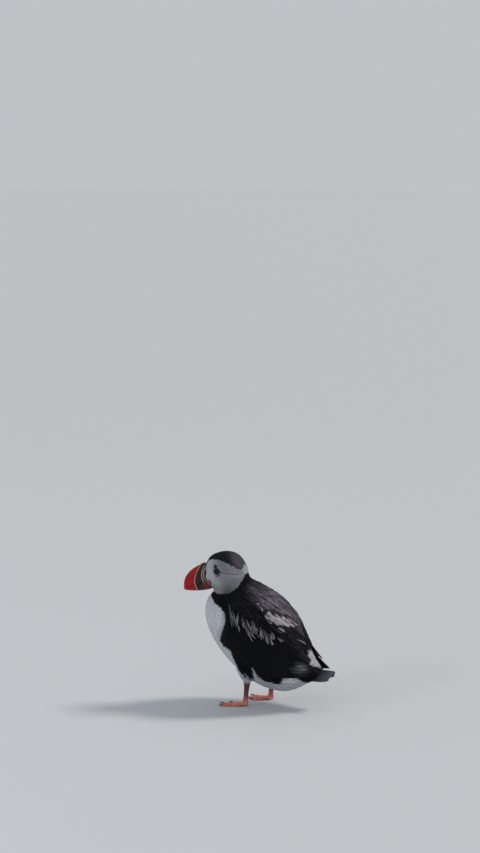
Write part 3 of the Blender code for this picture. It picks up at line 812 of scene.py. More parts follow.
def lid_ring(sign):
    """The fleshy ring round an eye, whose inner lip closes on the eyeball."""
    bm = bmesh.new()
    h, x, k = EYE_PLACE
    turns = circle(LID_AROUND)
    loops = []
    for radius, out in LID_ROWS:
        wrinkle = 1 + WRINKLE_DEPTH * np.sin(turns * WRINKLES) * (WRINKLED[0] < radius < WRINKLED[1])
        along, up = np.cos(turns) * radius * 1.05 * wrinkle, np.sin(turns) * radius * wrinkle
        if radius < LID_LIP:
            # The upper lid hangs a little and its rear corner is drawn out.
            up = np.where(up > 0, up * 0.86, up * 0.93)
            along = np.where(along < 0, along * (1 + 0.10 * np.cos(turns) ** 8), along)
        loops.append(loop_of(bm, head_place(h + along, np.full(LID_AROUND, sign * (x + out)), k + up)))
    bridge(bm, loops + loops[:1])
    bmesh.ops.recalc_face_normals(bm, faces=bm.faces)
    return mesh_from("lid", bm)


def united(base, others):
    """base with other closed meshes joined on by Booleans, as one surface."""
    obj = linked("skin", base)
    helpers = [linked(f"joined_{i}", mesh) for i, mesh in enumerate(others)]
    for helper in helpers:
        step = obj.modifiers.new(helper.name, "BOOLEAN")
        step.operation = "UNION"
        step.solver = "MANIFOLD"
        step.object = helper
    mesh = applied(obj)
    for helper in helpers:
        bpy.data.objects.remove(helper)
    return mesh


# How far from the toes' middle lines the web's colour sets in, and how high up it goes.
WEB_CLEAR, WEB_TOP = (1.6, 2.6), 4


def leg_colours(points):
    """Orange legs that darken upwards with painted shade under the body, with paler webs between the toes."""
    leg = blend(flat(LEG_ORANGE, points), LEG_SHADE, 0.9 * smooth_step(points[:, 2], 3, 22))
    toe_gap = np.full(len(points), FAR)
    for side, sign in SIDES.items():
        for toe in TOES:
            root = np.array((sign * LEG_SPREAD, LEGS[side][0]))
            tip = root + toe_ahead(toe, sign)[:2] * TOES[toe][0]
            gap, _ = line_distance([tuple(root), tuple(tip)], points[:, 0], points[:, 1])
            toe_gap = np.minimum(toe_gap, gap)
    leg = blend(leg, WEB_ORANGE, smooth_step(toe_gap, *WEB_CLEAR) * (points[:, 2] < WEB_TOP))
    return leg * (1 + 0.15 * noise(points, 3.0, 8))[:, None]


def skin_colours(points):
    """The markings under the feathers, and the bare skin of legs, feet and eye rings."""
    colours = plumage(points)
    bare = bare_legs(points)
    colours[bare] = leg_colours(points)[bare]
    # The skin between the foremost feathers and the bill is part of the bill's dark base.
    h, x, k = head_parts(points)
    base = smooth_step(h - feather_edge(k), -0.6, 0.0) * (k > -6) * (np.abs(x) < 14)
    # The eye rings take their painted shade.
    return blend(blend(colours, BILL_SLATE, base), EYE_RING_SHADED, eye_ring(points))


def bare_legs(points):
    """Which points are on the unfeathered legs."""
    sides = zip(LEGS["left"], LEGS["right"])
    foot_y, _, hem = (np.where(points[:, 0] > 0, left, right) for left, right in sides)
    off = np.hypot(np.abs(points[:, 0]) - LEG_SPREAD, (points[:, 1] - foot_y - 1) * 0.8)
    return (points[:, 2] < hem + 6) & ((off < 6.5) | (points[:, 2] < 9))


def eye_ring(points):
    """1 on the bare ring round each eye."""
    h, x, k = head_parts(points)
    far = np.hypot(h - EYE_PLACE[0], k - EYE_PLACE[2])
    return (1 - smooth_step(far, 4.6, 5.1)) * (np.abs(x) > EYE_PLACE[1])


def build_skin():
    others = [leg_skin(side) for side in SIDES] + [lid_ring(sign) for sign in SIDES.values()]
    mesh = united(body_skin(), others)
    mesh.name = "skin"
    paint(mesh, skin_colours(bird_places(mesh.vertices)))
    finished(mesh, skin_material(), leg_material())
    middles = bird_places(mesh.polygons, "center")
    bare = bare_legs(middles) | (eye_ring(middles) > 0.5)
    mesh.polygons.foreach_set("material_index", bare.astype(np.int32))
    skin = linked("skin", mesh)
    dressed(skin, "white_plumage", *BODY_FLESH, *LEG_FLESH)
    return skin


# ---------------------------------------------------------------- the lie of the plumage

# Side-view places with the way the feathers there lie: y, z, along y, along z.
LIE = np.array(
    (
        (-66, 196, 0.75, 0.6), (-45, 208, 1, 0.1), (-25, 203, 0.85, -0.5), (-13, 188, 0.45, -0.9),
        (-60, 178, 1, 0.1), (-40, 182, 1, -0.12), (-62, 162, 0.9, -0.45), (-40, 162, 0.9, -0.45),
        (-20, 168, 0.7, -0.7), (-64, 150, 0.35, -0.95), (-75, 128, 0.05, -1), (-68, 103, 0.3, -0.95),
        (-50, 75, 0.6, -0.8), (-25, 48, 0.8, -0.6), (0, 30, 0.95, -0.3), (30, 22, 1, 0),
        (60, 27, 0.95, 0.25), (85, 38, 0.95, 0.3), (0, 172, 0.8, -0.6), (25, 158, 0.75, -0.66),
        (50, 132, 0.62, -0.78), (70, 102, 0.5, -0.87), (85, 75, 0.55, -0.83), (100, 55, 0.8, -0.6),
        (0, 120, 0.55, -0.83), (20, 90, 0.72, -0.69), (45, 60, 0.88, -0.47), (-28, 105, 0.5, -0.87),
        (-8, 45, 0, -1), (-6, 36, 0, -1), (14, 31, 0, -1), (-22, 85, 0.55, -0.8),
    )
)
LIE_REACH = 9.0
# Where lines of sight start, and how many places are tried for each feather that fits.
SIGHT_START, SCATTER_TRIES = 300, 7


def lie(points, normals):
    """The way feathers lie at places, along the surface."""
    gap2 = ((points[:, None, 1:] - LIE[None, :, :2]) ** 2).sum(-1)
    weight = 1 / (gap2 + LIE_REACH**2) ** 2
    way = np.zeros_like(points)
    way[:, 1:] = (weight[..., None] * LIE[None, :, 2:]).sum(1)
    # On the face they run back from the bill all round it.
    from_bill = unit(points - head_place(2.0, 0, 0))
    face = head_nearness(points) * smooth_step(head_parts(points)[0], -34, -12)
    way = unit(way) * (1 - face)[:, None] + from_bill * face[:, None]
    way -= (way * normals).sum(-1, keepdims=True) * normals
    return unit(way)


class Ground:
    """The skin as places with normals, to lay feathers on."""

    def __init__(self, mesh):
        self.points = bird_places(mesh.vertices)
        self.normals = vectors(mesh.vertices, "normal")
        self.tree = KDTree(len(self.points))
        for i, p in enumerate(self.points):
            self.tree.insert(p, i)
        self.tree.balance()
        mesh.calc_loop_triangles()
        tris = np.empty(len(mesh.loop_triangles) * 3, np.int32)
        mesh.loop_triangles.foreach_get("vertices", tris)
        self.tris = tris.reshape(-1, 3)
        self.surface = BVHTree.FromPolygons(self.points.tolist(), self.tris.tolist())

    def settle(self, points):
        """The nearest places on the skin, with its normals there."""
        near = np.fromiter((self.tree.find(p)[1] for p in points), int, len(points))
        normals = self.normals[near]
        off = ((points - self.points[near]) * normals).sum(-1, keepdims=True)
        return points - off * normals, normals

    def seen(self, s, t, sign):
        """The outermost places on the skin at s and t of the slanted plane, with the normals there.

        Where that line of sight misses the skin, the place is nan.
        """
        mirror = np.array((sign, 1.0, 1.0))
        starts = (s[..., None] * LOOK_S + t[..., None] * LOOK_T + SIGHT_START * LOOK_BACK) * mirror
        way = Vector(-LOOK_BACK * mirror)
        hits = [self.surface.ray_cast(Vector(start), way) for start in starts.reshape(-1, 3)]
        nowhere = (math.nan,) * 3
        return (np.array([hit[i] or nowhere for hit in hits]).reshape(starts.shape) for i in (0, 1))

    def scatter(self, spacing, keep):
        """Seeded places no nearer each other than spacing(points), where keep(points) holds."""
        a, b, c = (self.points[self.tris[:, i]] for i in range(3))
        middles = (a + b + c) / 3
        area = np.linalg.norm(np.cross(b - a, c - a), axis=1) / 2
        chance = np.where(keep(middles), area / spacing(middles) ** 2, 0)
        count = int(chance.sum() * SCATTER_TRIES)
        which = rng.choice(len(a), count, p=chance / chance.sum())
        one, two = rng.random(count), rng.random(count)
        fold = one + two > 1
        one[fold], two[fold] = 1 - one[fold], 1 - two[fold]
        spots = a[which] + (b[which] - a[which]) * one[:, None] + (c[which] - a[which]) * two[:, None]
        gaps = spacing(spots)
        cell = float(gaps.max())
        grid, kept = {}, []
        keys = np.floor(spots / cell).astype(int)
        around = list(itertools.product((-1, 0, 1), repeat=3))
        for n, ((i, j, k), (x, y, z)) in enumerate(zip(keys.tolist(), spots.tolist())):
            limit = gaps[n] ** 2
            near = (q for di, dj, dk in around for q in grid.get((i + di, j + dj, k + dk), ()))
            if all((qx - x) ** 2 + (qy - y) ** 2 + (qz - z) ** 2 >= limit for qx, qy, qz in near):
                grid.setdefault((i, j, k), []).append((x, y, z))
                kept.append(n)
        return spots[kept]


# The middle line that the skin is unrolled round: side-view places from the bill to the tail. The back is
# the side above it along SPINE_SLOPE, and BAKE_MARGIN stays free round the bake's square.
SPINE = [(-71, 177), (-45, 184), (-30, 166), (-20, 140), (-4, 110), (22, 82), (50, 58), (85, 47), (125, 46)]
SPINE_SLOPE, BAKE_MARGIN = 0.55, 0.01


def unrolled(points):
    """Each place's spot on the skin, unrolled round the body's middle line, as a pair from 0 to 1."""
    _, share = line_distance(SPINE, points[:, 1], points[:, 2])
    lengths = np.cumsum([0] + [math.dist(p, q) for p, q in zip(SPINE, SPINE[1:])])
    spine_y, spine_z = (np.interp(share * lengths[-1], lengths, v) for v in zip(*SPINE))
    over = np.where(points[:, 2] + SPINE_SLOPE * points[:, 1] > spine_z + SPINE_SLOPE * spine_y, 1, -1)
    up = np.hypot(points[:, 1] - spine_y, points[:, 2] - spine_z) * over
    turn = np.arctan2(points[:, 0], up) / (2 * math.pi) + 0.5
    return BAKE_MARGIN + (1 - 2 * BAKE_MARGIN) * np.stack([turn, share], 1)


# ---------------------------------------------------------------- feathers

# How much of the bake's square one feather takes.
PATCH = 0.003
# Feather outlines: rows of (share of the length, share of the half width).
BODY_VANE = ((0.0, 0.25), (0.3, 0.85), (0.62, 1.0), (0.88, 0.66), (1.0, 0.10))
SHORT_VANE = ((0.0, 0.45), (0.5, 1.0), (0.85, 0.7), (1.0, 0.12))
FLIGHT_VANE = (
    (0.0, 0.35), (0.1, 0.7), (0.22, 0.93), (0.4, 1.0), (0.58, 1.0), (0.74, 0.95), (0.86, 0.80), (0.94, 0.56),
    (0.985, 0.28), (1.0, 0.10),
)


def lengthways(vane):
    """Each ring's share of a feather's length."""
    return np.array([row[0] for row in vane])


class Coat:
    """Feathers gathered into one object."""

    def __init__(self, name, look, slot="black_plumage"):
        self.name, self.look, self.slot = name, look, slot
        self.points, self.colours, self.bake, self.vane, self.faces = [], [], [], [], {}
        self.count = 0

    def add(self, lines, half_width, rise, vane, section, colour, roots, which=slice(None)):
        """Adds n feathers.

        lines are the middles, normals and side ways of their rings, which are (n, rings, 3), and so is
        colour. rise is (n, rings). vane gives each ring's share of the length and of the half width, and
        section is the cross-section, rows of (across, height in half widths).
        """
        middle, normal, side, colour = (v[which] for v in (*lines, colour))
        half_width, rise, roots = half_width[which], rise[which], roots[which]
        n, rings = middle.shape[:2]
        along, wide = (np.array(v) for v in zip(*vane))
        across, high = (np.array(v) for v in zip(*section))
        around = len(across)
        reach = half_width[:, None, None] * wide[None, :, None]
        height = rise[..., None] + reach * high[None, None, :]
        points = (
            middle[:, :, None]
            + side[:, :, None] * (reach * across[None, None, :])[..., None]
            + normal[:, :, None] * height[..., None]
        )
        sideways = across[None, :] * wide[:, None] * 0.5
        lengths = np.broadcast_to(along[:, None], (rings, around))
        local = np.stack([sideways, lengths - 0.5], -1)
        vane_uv = np.stack([sideways + 0.5, lengths], -1)
        bake = unrolled(roots)[:, None, None] + local[None] * PATCH
        base = self.count + (np.arange(n) * rings * around)[:, None, None]
        for face in tube_faces(rings, around):
            self.faces.setdefault(face.shape[1], []).append((base + face[None]).reshape(-1, face.shape[1]))
        self.points.append(points.reshape(-1, 3))
        self.colours.append(np.repeat(colour.reshape(-1, 3), around, 0))
        self.bake.append(bake.reshape(-1, 2))
        self.vane.append(np.broadcast_to(vane_uv, (n, rings, around, 2)).reshape(-1, 2))
        self.count += n * rings * around

    def build(self, *replaced):
        faces = [np.concatenate(group) for group in self.faces.values()]
        rows = self.points, self.colours, self.bake, self.vane
        points, colours, bake, vane = (np.concatenate(v) for v in rows)
        obj = mesh_object(self.name, points, faces, self.look, colours, (("OFBake", bake), ("Vane", vane)))
        dressed(obj, self.slot, *replaced)
        print(f"{self.name}: {sum(len(f) * (f.shape[1] - 2) for f in faces)} triangles")


# The least cosine between the skin's directions at a feather's root and along it.
STEADY = 0.45
# How much darker or paler a whole feather can be than the markings.
TONE_RANGE = (0.55, 1.6)
# Cross-sections of feathers: rows of (across, height), in half widths.
TENT = ((-1.0, 0.0), (0.0, 0.24), (1.0, 0.0))
LOW_TENT = ((-1.0, 0.0), (0.0, 0.14), (1.0, 0.0))
BLADE = ((-1.0, 0.0), (-0.5, 0.06), (0.0, 0.11), (0.5, 0.06), (1.0, 0.0), (0.0, -0.03))


def feather_tones(middles, vane, spread, seed, base, tip, tint=plumage):
    """A colour for each ring of each feather: the markings, varied, darkened towards the root with painted
    shade where neighbours cover it, and paler towards the tip.
    """
    n, rings = middles.shape[:2]
    tones = tint(middles.reshape(-1, 3)).reshape(n, rings, 3)
    own = (1 + np.random.default_rng(seed).normal(0, spread, n)).clip(*TONE_RANGE)
    return tones * own[:, None, None] * (base + (tip - base) * lengthways(vane) ** 1.5)[None, :, None]


def lay(ground, roots, length, vane, swing):
    """The middle lines, normals and side ways of feathers that bend with the skin along the lie."""
    turn = rng.normal(0, swing, len(roots))[:, None]

    def heading(place, normal):
        ahead = lie(place, normal)
        return unit(ahead * np.cos(turn) + np.cross(normal, ahead) * np.sin(turn))

    place, normal = ground.settle(roots)
    way = heading(place, normal)
    rows = [(place, normal, np.cross(normal, way))]
    for step in np.diff(lengthways(vane)):
        place, normal = ground.settle(place + way * (step * length)[:, None])
        way = heading(place, normal)
        rows.append((place, normal, np.cross(normal, way)))
    return [np.stack(v, 1) for v in zip(*rows)]


def flat_enough(normals):
    """Which feathers don't turn over an edge, where they would stand up on end."""
    return (normals[:, 1:] * normals[:, :1]).sum(-1).min(1) > STEADY


def shingle(lift, vane, base=0.0):
    """Each ring's height over the skin, for feathers whose tips stand by lift."""
    return base + lift[:, None] * lengthways(vane)[None] ** 1.15


# How far apart feathers stand: on the face, on the neck and body, and on the wing's front and rear.
FACE_SPACING, NECK_SPACING, BODY_SPACING, WING_SPACING = 0.92, 0.98, 1.8, (1.6, 2.4)
# Feathers whose tone is above this go with the pale plumage.
PALE_FROM = 0.12


def face_spacing(points):
    near_eye = 1 - smooth_step(eye_distance(points), 6, 13)
    near_bill = smooth_step(head_parts(points)[0], -10, 0)
    return FACE_SPACING - 0.22 * np.maximum(near_eye, near_bill)


def neck_to_body(points):
    """0 at the head and 1 on the body, over which feathers grow larger."""
    return smooth_step(np.linalg.norm(points - np.array((0, -45, 184)), axis=1), 34, 66)


def body_spacing(points):
    """Feathers grow from the neck down, and stay small round the top of the legs."""
    hem = smooth_step(46 - points[:, 2], 0, 14) * (np.abs(points[:, 0]) > 14) * (points[:, 1] < 30)
    return (NECK_SPACING + 0.82 * neck_to_body(points)) * (1 - 0.3 * hem)


def wing_spacing(points):
    return WING_SPACING[0] + 0.8 * smooth_step(points[:, 1] - points[:, 2] * 0.5, -70, 20)


def clear_of_bill(points):
    h, _, k = head_parts(points)
    return (h < feather_edge(k) - 0.5) | (k < -19)


EYE_CLEAR = 5.4


def on_head(points):
    h, x, k = head_parts(points)
    # Feathers before the eye start further off, because they lie towards it.
    clear = np.hypot(h - EYE_PLACE[0] - 0.4, k - EYE_PLACE[2]) > EYE_CLEAR
    return (head_nearness(points) > 0.55) & clear_of_bill(points) & (clear | (np.abs(x) < EYE_PLACE[1] - 2))


# The folded wing in side view.
WING_SIDE = [
    (-19, 138), (-16, 118), (-30, 101), (-24, 90), (-10, 82), (12, 62), (17, 48), (40, 40), (70, 40),
    (90, 60), (74, 96), (56, 124), (30, 146), (0, 150),
]


def on_wing(points):
    return inside(WING_SIDE, points[:, 1], points[:, 2]) & (np.abs(points[:, 0]) > 20)


def on_body(points):
    wing_or_head = on_wing(points) | (head_nearness(points) > 0.55)
    return ~bare_legs(points) & clear_of_bill(points) & ~wing_or_head


def build_head_coat(ground, face_vane, dark_vane):
    """Very short, dense feathers, shorter still round the eye and lower in the fold behind it."""
    roots = ground.scatter(face_spacing, on_head)
    size = face_spacing(roots) / FACE_SPACING
    h, _, k = head_parts(roots)
    crease, _ = line_distance(CREASE, h, k)
    short = 0.42 + 0.58 * smooth_step(eye_distance(roots), 6, 10)
    lines = lay(ground, roots, 3.1 * size * short, SHORT_VANE, 0.10)
    colours = feather_tones(lines[0], SHORT_VANE, 0.045, 31, 0.92, 1.05)
    rise = shingle(0.52 * size * (1 - 0.5 * bell(crease, 1.4)), SHORT_VANE)
    pale = colours[:, 2].mean(1) > PALE_FROM
    for name, chosen, look, slot in (
        ("face_feathers", pale, face_vane, "face_plumage"),
        ("cap_feathers", ~pale, dark_vane, "black_plumage"),
    ):
        coat = Coat(name, look, slot)
        coat.add(lines, 0.45 * size, rise, SHORT_VANE, TENT, colours, roots, chosen)
        coat.build()


def build_body_coat(ground, pale_vane, dark_vane):
    """Contour feathers that grow from the neck towards the tail."""
    roots = ground.scatter(body_spacing, on_body)
    size = body_spacing(roots) / BODY_SPACING
    grown = neck_to_body(roots)
    lines = lay(ground, roots, size * (6.6 + 2.0 * grown), BODY_VANE, 0.12)
    colours = feather_tones(lines[0], BODY_VANE, 0.05, 32, 0.86, 1.06)
    pale = colours[:, 3].mean(1) > PALE_FROM
    rise = shingle(np.where(pale, 0.68, 1.3) * size * (0.8 + 0.2 * grown), BODY_VANE)
    front = roots[:, 1] < 10
    steady = flat_enough(lines[1])
    half = size * (0.95 + 0.65 * grown)
    for name, chosen, look, slot, section in (
        ("breast_feathers", steady & pale & front, pale_vane, "white_plumage", LOW_TENT),
        ("belly_feathers", steady & pale & ~front, pale_vane, "white_plumage", LOW_TENT),
        ("back_feathers", steady & ~pale, dark_vane, "black_plumage", TENT),
    ):
        coat = Coat(name, look, slot)
        coat.add(lines, half, rise, BODY_VANE, section, colours, roots, chosen)
        coat.build()


# ---------------------------------------------------------------- wings and tail

# The body and the folded wing on it, as the solids have them. The body's rows are (back y, back z, belly y,
# belly z, half width).
BODY_STATIONS = (
    (-24, 188, -48, 171, 14), (-14, 180.5, -64, 157, 20.5), (-1, 174, -73, 146, 30),
    (15.5, 164.5, -75.5, 127, 42.5), (34.5, 153, -69.5, 105, 51), (48.5, 138.5, -57.5, 83, 53),
    (60, 123.5, -42, 63.5, 51), (67, 109, -23, 45, 47), (73, 96, -2, 30.5, 41), (78, 85, 19, 22.3, 34),
    (84, 74, 42, 19.5, 27), (91, 64, 61.5, 25, 21), (97, 56, 77, 34, 15.5), (103, 50, 90, 42, 11),
)
BODY_SQUARENESS = 2.15
# Rows of (station, lower share, upper share, thickness, lift off the body).
WING_STATIONS = (
    (3.15, 0.60, 0.80, 1.4, 0.9), (3.6, 0.50, 0.87, 3.0, 0.9), (4.2, 0.40, 0.905, 4.4, 0.9),
    (4.8, 0.25, 0.92, 5.2, 0.9), (5.3, 0.21, 0.93, 5.4, 0.9), (6.0, 0.25, 0.94, 5.4, 0.9),
    (7.0, 0.26, 0.945, 5.2, 0.9), (8.0, 0.27, 0.95, 5.0, 1.3), (9.0, 0.32, 0.95, 4.6, 2.1),
    (10.0, 0.42, 0.94, 4.2, 4.4), (11.0, 0.55, 0.91, 3.6, 6.8), (12.0, 0.66, 0.87, 2.8, 8.6),
    (12.45, 0.745, 0.845, 1.8, 9.2),
)


def spline(rows, u):
    """Rows of a table read at stations u, by a Catmull-Rom curve."""
    rows = np.array(rows, float)
    last = len(rows) - 1
    i = np.clip(np.floor(u).astype(int), 0, last - 1)
    t = (u - i)[..., None]
    a, b, c, d = (rows[np.clip(i + j, 0, last)] for j in (-1, 0, 1, 2))
    return 0.5 * (2 * b + (c - a) * t + (2 * a - 5 * b + 4 * c - d) * t**2 + (3 * b - a - 3 * c + d) * t**3)


def body_place(u, share, grow):
    """Places on the body's left side at station u, where share runs from the belly, 0, to the back, 1."""
    back_y, back_z, belly_y, belly_z, half = np.moveaxis(spline(BODY_STATIONS, u), -1, 0)
    along = 2 * share - 1
    across = (1 - np.abs(along).clip(0, 1) ** BODY_SQUARENESS) ** (1 / BODY_SQUARENESS) * (half + grow)
    along = along * (1 + 2 * grow / np.hypot(back_y - belly_y, back_z - belly_z))
    middle_y, middle_z = (back_y + belly_y) / 2, (back_z + belly_z) / 2
    reach_y, reach_z = (back_y - belly_y) / 2, (back_z - belly_z) / 2
    return np.stack([across, middle_y + reach_y * along, middle_z + reach_z * along], -1)


def wing_place(u, share, depth, sign):
    """Places in the folded wing: depth runs from its inner side, 0, to its outer, 1. With their normals."""
    stations, *rows = zip(*WING_STATIONS)
    low, high, thick, lift = (np.interp(u, stations, row) for row in rows)
    across = np.clip((share - low) / (high - low), 0.06, 0.94)
    grow = lift + depth * thick * np.sin(math.pi * across) ** 0.5
    place = body_place(u, share, grow)
    normal = unit(body_place(u, share, grow + 1) - place)
    mirror = np.array((sign, 1, 1))
    return place * mirror, normal * mirror


# How pale painted sheen may get on the left wing's flight feathers, and how dark the right wing's stay.
FLIGHT_SHEEN_CAP = np.array((0.34, 0.335, 0.36))
FLIGHT_DARK = np.array((0.020, 0.020, 0.024))
# Flight feathers, from the lowest of the stack to the top one: (root station, root share, tip station,
# tip share, depth in the wing, half width).
PRIMARIES = [(8.2, 0.38, 12.45, 0.795, 0.30, 3.4), (8.0, 0.42, 12.15, 0.815, 0.38, 3.8)] + [
    (7.8 - 0.3 * i, 0.46 + 0.035 * i, 11.7 - 0.48 * i, 0.825 + 0.012 * i, 0.46 + 0.05 * i, 4.2)
    for i in range(5)
]
SECONDARIES = [
    (6.6 - 0.22 * i, 0.36 + 0.045 * i, 9.6 - 0.13 * i, 0.50 + 0.045 * i, 0.62 + 0.03 * i, 4.6)
    for i in range(9)
]
TERTIALS = [
    (5.8 + 0.2 * i, 0.72 + 0.035 * i, 9.8 + 0.35 * i, 0.86 + 0.012 * i, 0.84 + 0.03 * i, 5.6)
    for i in range(4)
]
FLIGHT_BOW = 0.02


def side_ways(middles, normals):
    """The sideways directions of feathers whose middle lines and normals are given."""
    return unit(np.cross(normals, unit(np.gradient(middles, axis=1))))


def wing_feathers(rows, sign):
    """The lines of flight feathers laid in the wing from their table, and their half widths."""
    along = lengthways(FLIGHT_VANE)[None]
    root_u, root_share, tip_u, tip_share, depth, half = (np.array(v, float)[:, None] for v in zip(*rows))
    u = root_u + (tip_u - root_u) * along
    share = root_share + (tip_share - root_share) * along + FLIGHT_BOW * np.sin(math.pi * along)
    # A feather's root is tucked under its neighbours and its tip lies in its own layer.
    middles, normals = wing_place(u, share, depth * (0.55 + 0.45 * along), sign)
    return (middles, normals, side_ways(middles, normals)), half[:, 0]


def flight_tint(points):
    """The plumage's tones, duller, with the painted sheen held down on the left wing, and dark on the right
    wing, which the rump's painted sheen doesn't reach.
    """
    return np.minimum(plumage(points), np.where(points[:, :1] > 0, FLIGHT_SHEEN_CAP, FLIGHT_DARK))


def add_quills(coat, lines, half, tones):
    """Adds flat long feathers that lie where their lines do."""
    coat.add(lines, half, np.zeros(tones.shape[:2]), FLIGHT_VANE, BLADE, tones, lines[0][:, 0])


def build_flight_feathers(dark_vane):
    for side, sign in SIDES.items():
        coat = Coat(f"flight_feathers_{side}", dark_vane)
        for seed, rows in enumerate((PRIMARIES, SECONDARIES, TERTIALS), 40):
            lines, half = wing_feathers(rows, sign)
            tones = feather_tones(lines[0], FLIGHT_VANE, 0.12, seed, 1.0, 1.7, flight_tint)
            add_quills(coat, lines, half, tones)
        coat.build(f"primaries_{side}")


# The tail's fan: its root's y and z, its length, how much shorter its outer feathers are, half widths, how
# far it rises and arches, and how far its lowest and highest layers lie from the middle one.
TAIL_ROOT = (66.0, 43.0)
TAIL_REACH, TAIL_ROUNDING = 48.3, 0.10
TAIL_ROOT_HALF, TAIL_TIP_HALF, TAIL_FEATHER_HALF = 7.0, 13.6, 4.1
TAIL_RISE, TAIL_ARCH, TAIL_LAYER = 0.8, 10.0, 0.9
TAIL_PAIRS = 8
TAIL_COLOUR = np.array((0.085, 0.095, 0.118))


def tail_tint(points):
    """Black at the root and slate at the tip."""
    return TAIL_COLOUR * (0.15 + 0.85 * smooth_step(points[:, 1], 80, 102))[:, None]


def build_tail(dark_vane):
    """Pairs of feathers in an arched fan, the middle pair uppermost."""
    count = 2 * TAIL_PAIRS
    along = lengthways(FLIGHT_VANE)[None]
    order = [sign * (i + 0.5) / TAIL_PAIRS for i in reversed(range(TAIL_PAIRS)) for sign in (-1, 1)]
    across = np.array(order)[:, None]
    length = TAIL_REACH * (1 - TAIL_ROUNDING * across**2) * along
    width = TAIL_ROOT_HALF + (TAIL_TIP_HALF - TAIL_ROOT_HALF) * along**0.8
    layer = np.linspace(-TAIL_LAYER, TAIL_LAYER, count)[:, None] * (1 - 0.35 * along)
    rise = TAIL_RISE * along + TAIL_ARCH * (1 - across**2) + layer
    places = np.stack([across * width, TAIL_ROOT[0] + length, TAIL_ROOT[1] + rise], -1)
    tilt = np.arctan2(2 * TAIL_ARCH * across, np.full_like(across, TAIL_TIP_HALF))
    up = np.stack([np.sin(tilt), np.zeros_like(tilt), np.cos(tilt)], -1)
    normals = np.broadcast_to(up, places.shape)
    tones = feather_tones(places, FLIGHT_VANE, 0.1, 50, 0.9, 1.35, tail_tint)
    coat = Coat("tail_feathers", dark_vane)
    add_quills(coat, (places, normals, side_ways(places, normals)), np.full(count, TAIL_FEATHER_HALF), tones)
    coat.build("tail")


# Loose feathers on the slanted plane, from root to tip: coverts on the left wing that the wind has parted,
# whose pale strands are painted glints.
RUFFLED = [
    ((-38, 137), (-28.5, 106)), ((-34, 129), (-28, 108)), ((-25, 125), (-28, 106)), ((-25, 118), (-22, 99)),
    ((-20, 120), (-13, 102)), ((-17, 113), (-1, 89)), ((-14, 117), (-6, 100)), ((-10, 114), (0, 95)),
    ((-7, 116), (1, 97)), ((-3, 110), (4, 92)), ((3, 107), (6, 96)), ((0, 102), (7, 86)),
    ((7, 104), (15, 83)), ((11, 100), (17, 83)), ((14, 97), (22, 82)), ((18, 99), (22, 88)),
    ((27, 93), (35, 86)), ((28, 106), (38, 98)),
]
# Edges of scapulars and tertials, painted pale as highlights where they catch the light.
FRINGES = [
    ((-3, 137), (3, 133)), ((3, 133), (8, 124)), ((8, 122), (14, 115)), ((13, 116), (22, 110)),
    ((42, 117), (54, 105.5)), ((44, 118), (56, 106)), ((30, 104), (38, 99)), ((31, 103), (40, 97)),
    ((22, 146), (28, 138)), ((16, 152), (23, 143)), ((54, 90), (66, 83)), ((57, 87), (69, 80)),
    ((65, 83), (76, 75)),
]
# Laid feathers stay this far from the back's middle.
BACK_MIDDLE = 4.0
# Painted glint on the parted coverts' strands.
RUFFLED_GLINT = np.array((0.33, 0.31, 0.34))
# Painted highlight on the fringes.
FRINGE_HIGHLIGHT = np.array((0.42, 0.37, 0.38))


def strands(table, copies, fan, bend):
    """Roots and tips of fine strands that fan out along each feather of a table, and how far each bends."""
    root, tip = np.repeat(np.array(table, float), copies, 0).swapaxes(0, 1)
    count = len(root)
    turn = rng.normal(0, math.radians(fan), count)
    reach = (tip - root) * rng.uniform(0.6, 1.05, count)[:, None]
    ahead = np.stack([np.cos(turn), np.sin(turn)], 1) * reach[:, :1]
    turned = ahead + np.stack([-np.sin(turn), np.cos(turn)], 1) * reach[:, 1:]
    root = root + rng.normal(0, 0.8, (count, 2))
    return np.stack([root, root + turned], 1).tolist(), rng.normal(0, bend, count)


# Rows of (feathers, tone, copies, fan in degrees, bend, half width, lift of the tip, height of the root).
RUFFLES = (
    (RUFFLED, BLACK * 1.4, 1, 3, 0.5, 2.4, 2.0, 0.8),
    (RUFFLED, RUFFLED_GLINT, 4, 3.5, 1.1, 0.55, 2.6, 1.3),
    (FRINGES, FRINGE_HIGHLIGHT, 1, 3, 0.6, 1.00, 1.3, 1.7),
)


def add_ruffled(coat, ground, sign):
    """Parted coverts, each a dark vane with strands fanned over it that carry painted glints, and thin
    fringes that carry painted highlights.
    """
    for table, tone, copies, fan, bend, wide, lift, base in RUFFLES:
        rows, bow = strands(table, copies, fan, bend)
        middles, normals, sides = slant_feathers(ground, rows, sign, bow)
        count = len(middles)
        sides = unit(sides + normals * rng.normal(0.2, 0.3, (count, 1, 1)))
        tones = feather_tones(middles, FLIGHT_VANE, 0.35, 70 + copies, 0.25, 1.25, lambda p: flat(tone, p))
        half = wide * rng.normal(1, 0.22, count).clip(0.6, 1.5)
        rise = shingle(lift * rng.normal(1, 0.2, count), FLIGHT_VANE, base)
        coat.add((middles, normals, sides), half, rise, FLIGHT_VANE, TENT, tones, middles[:, 0])


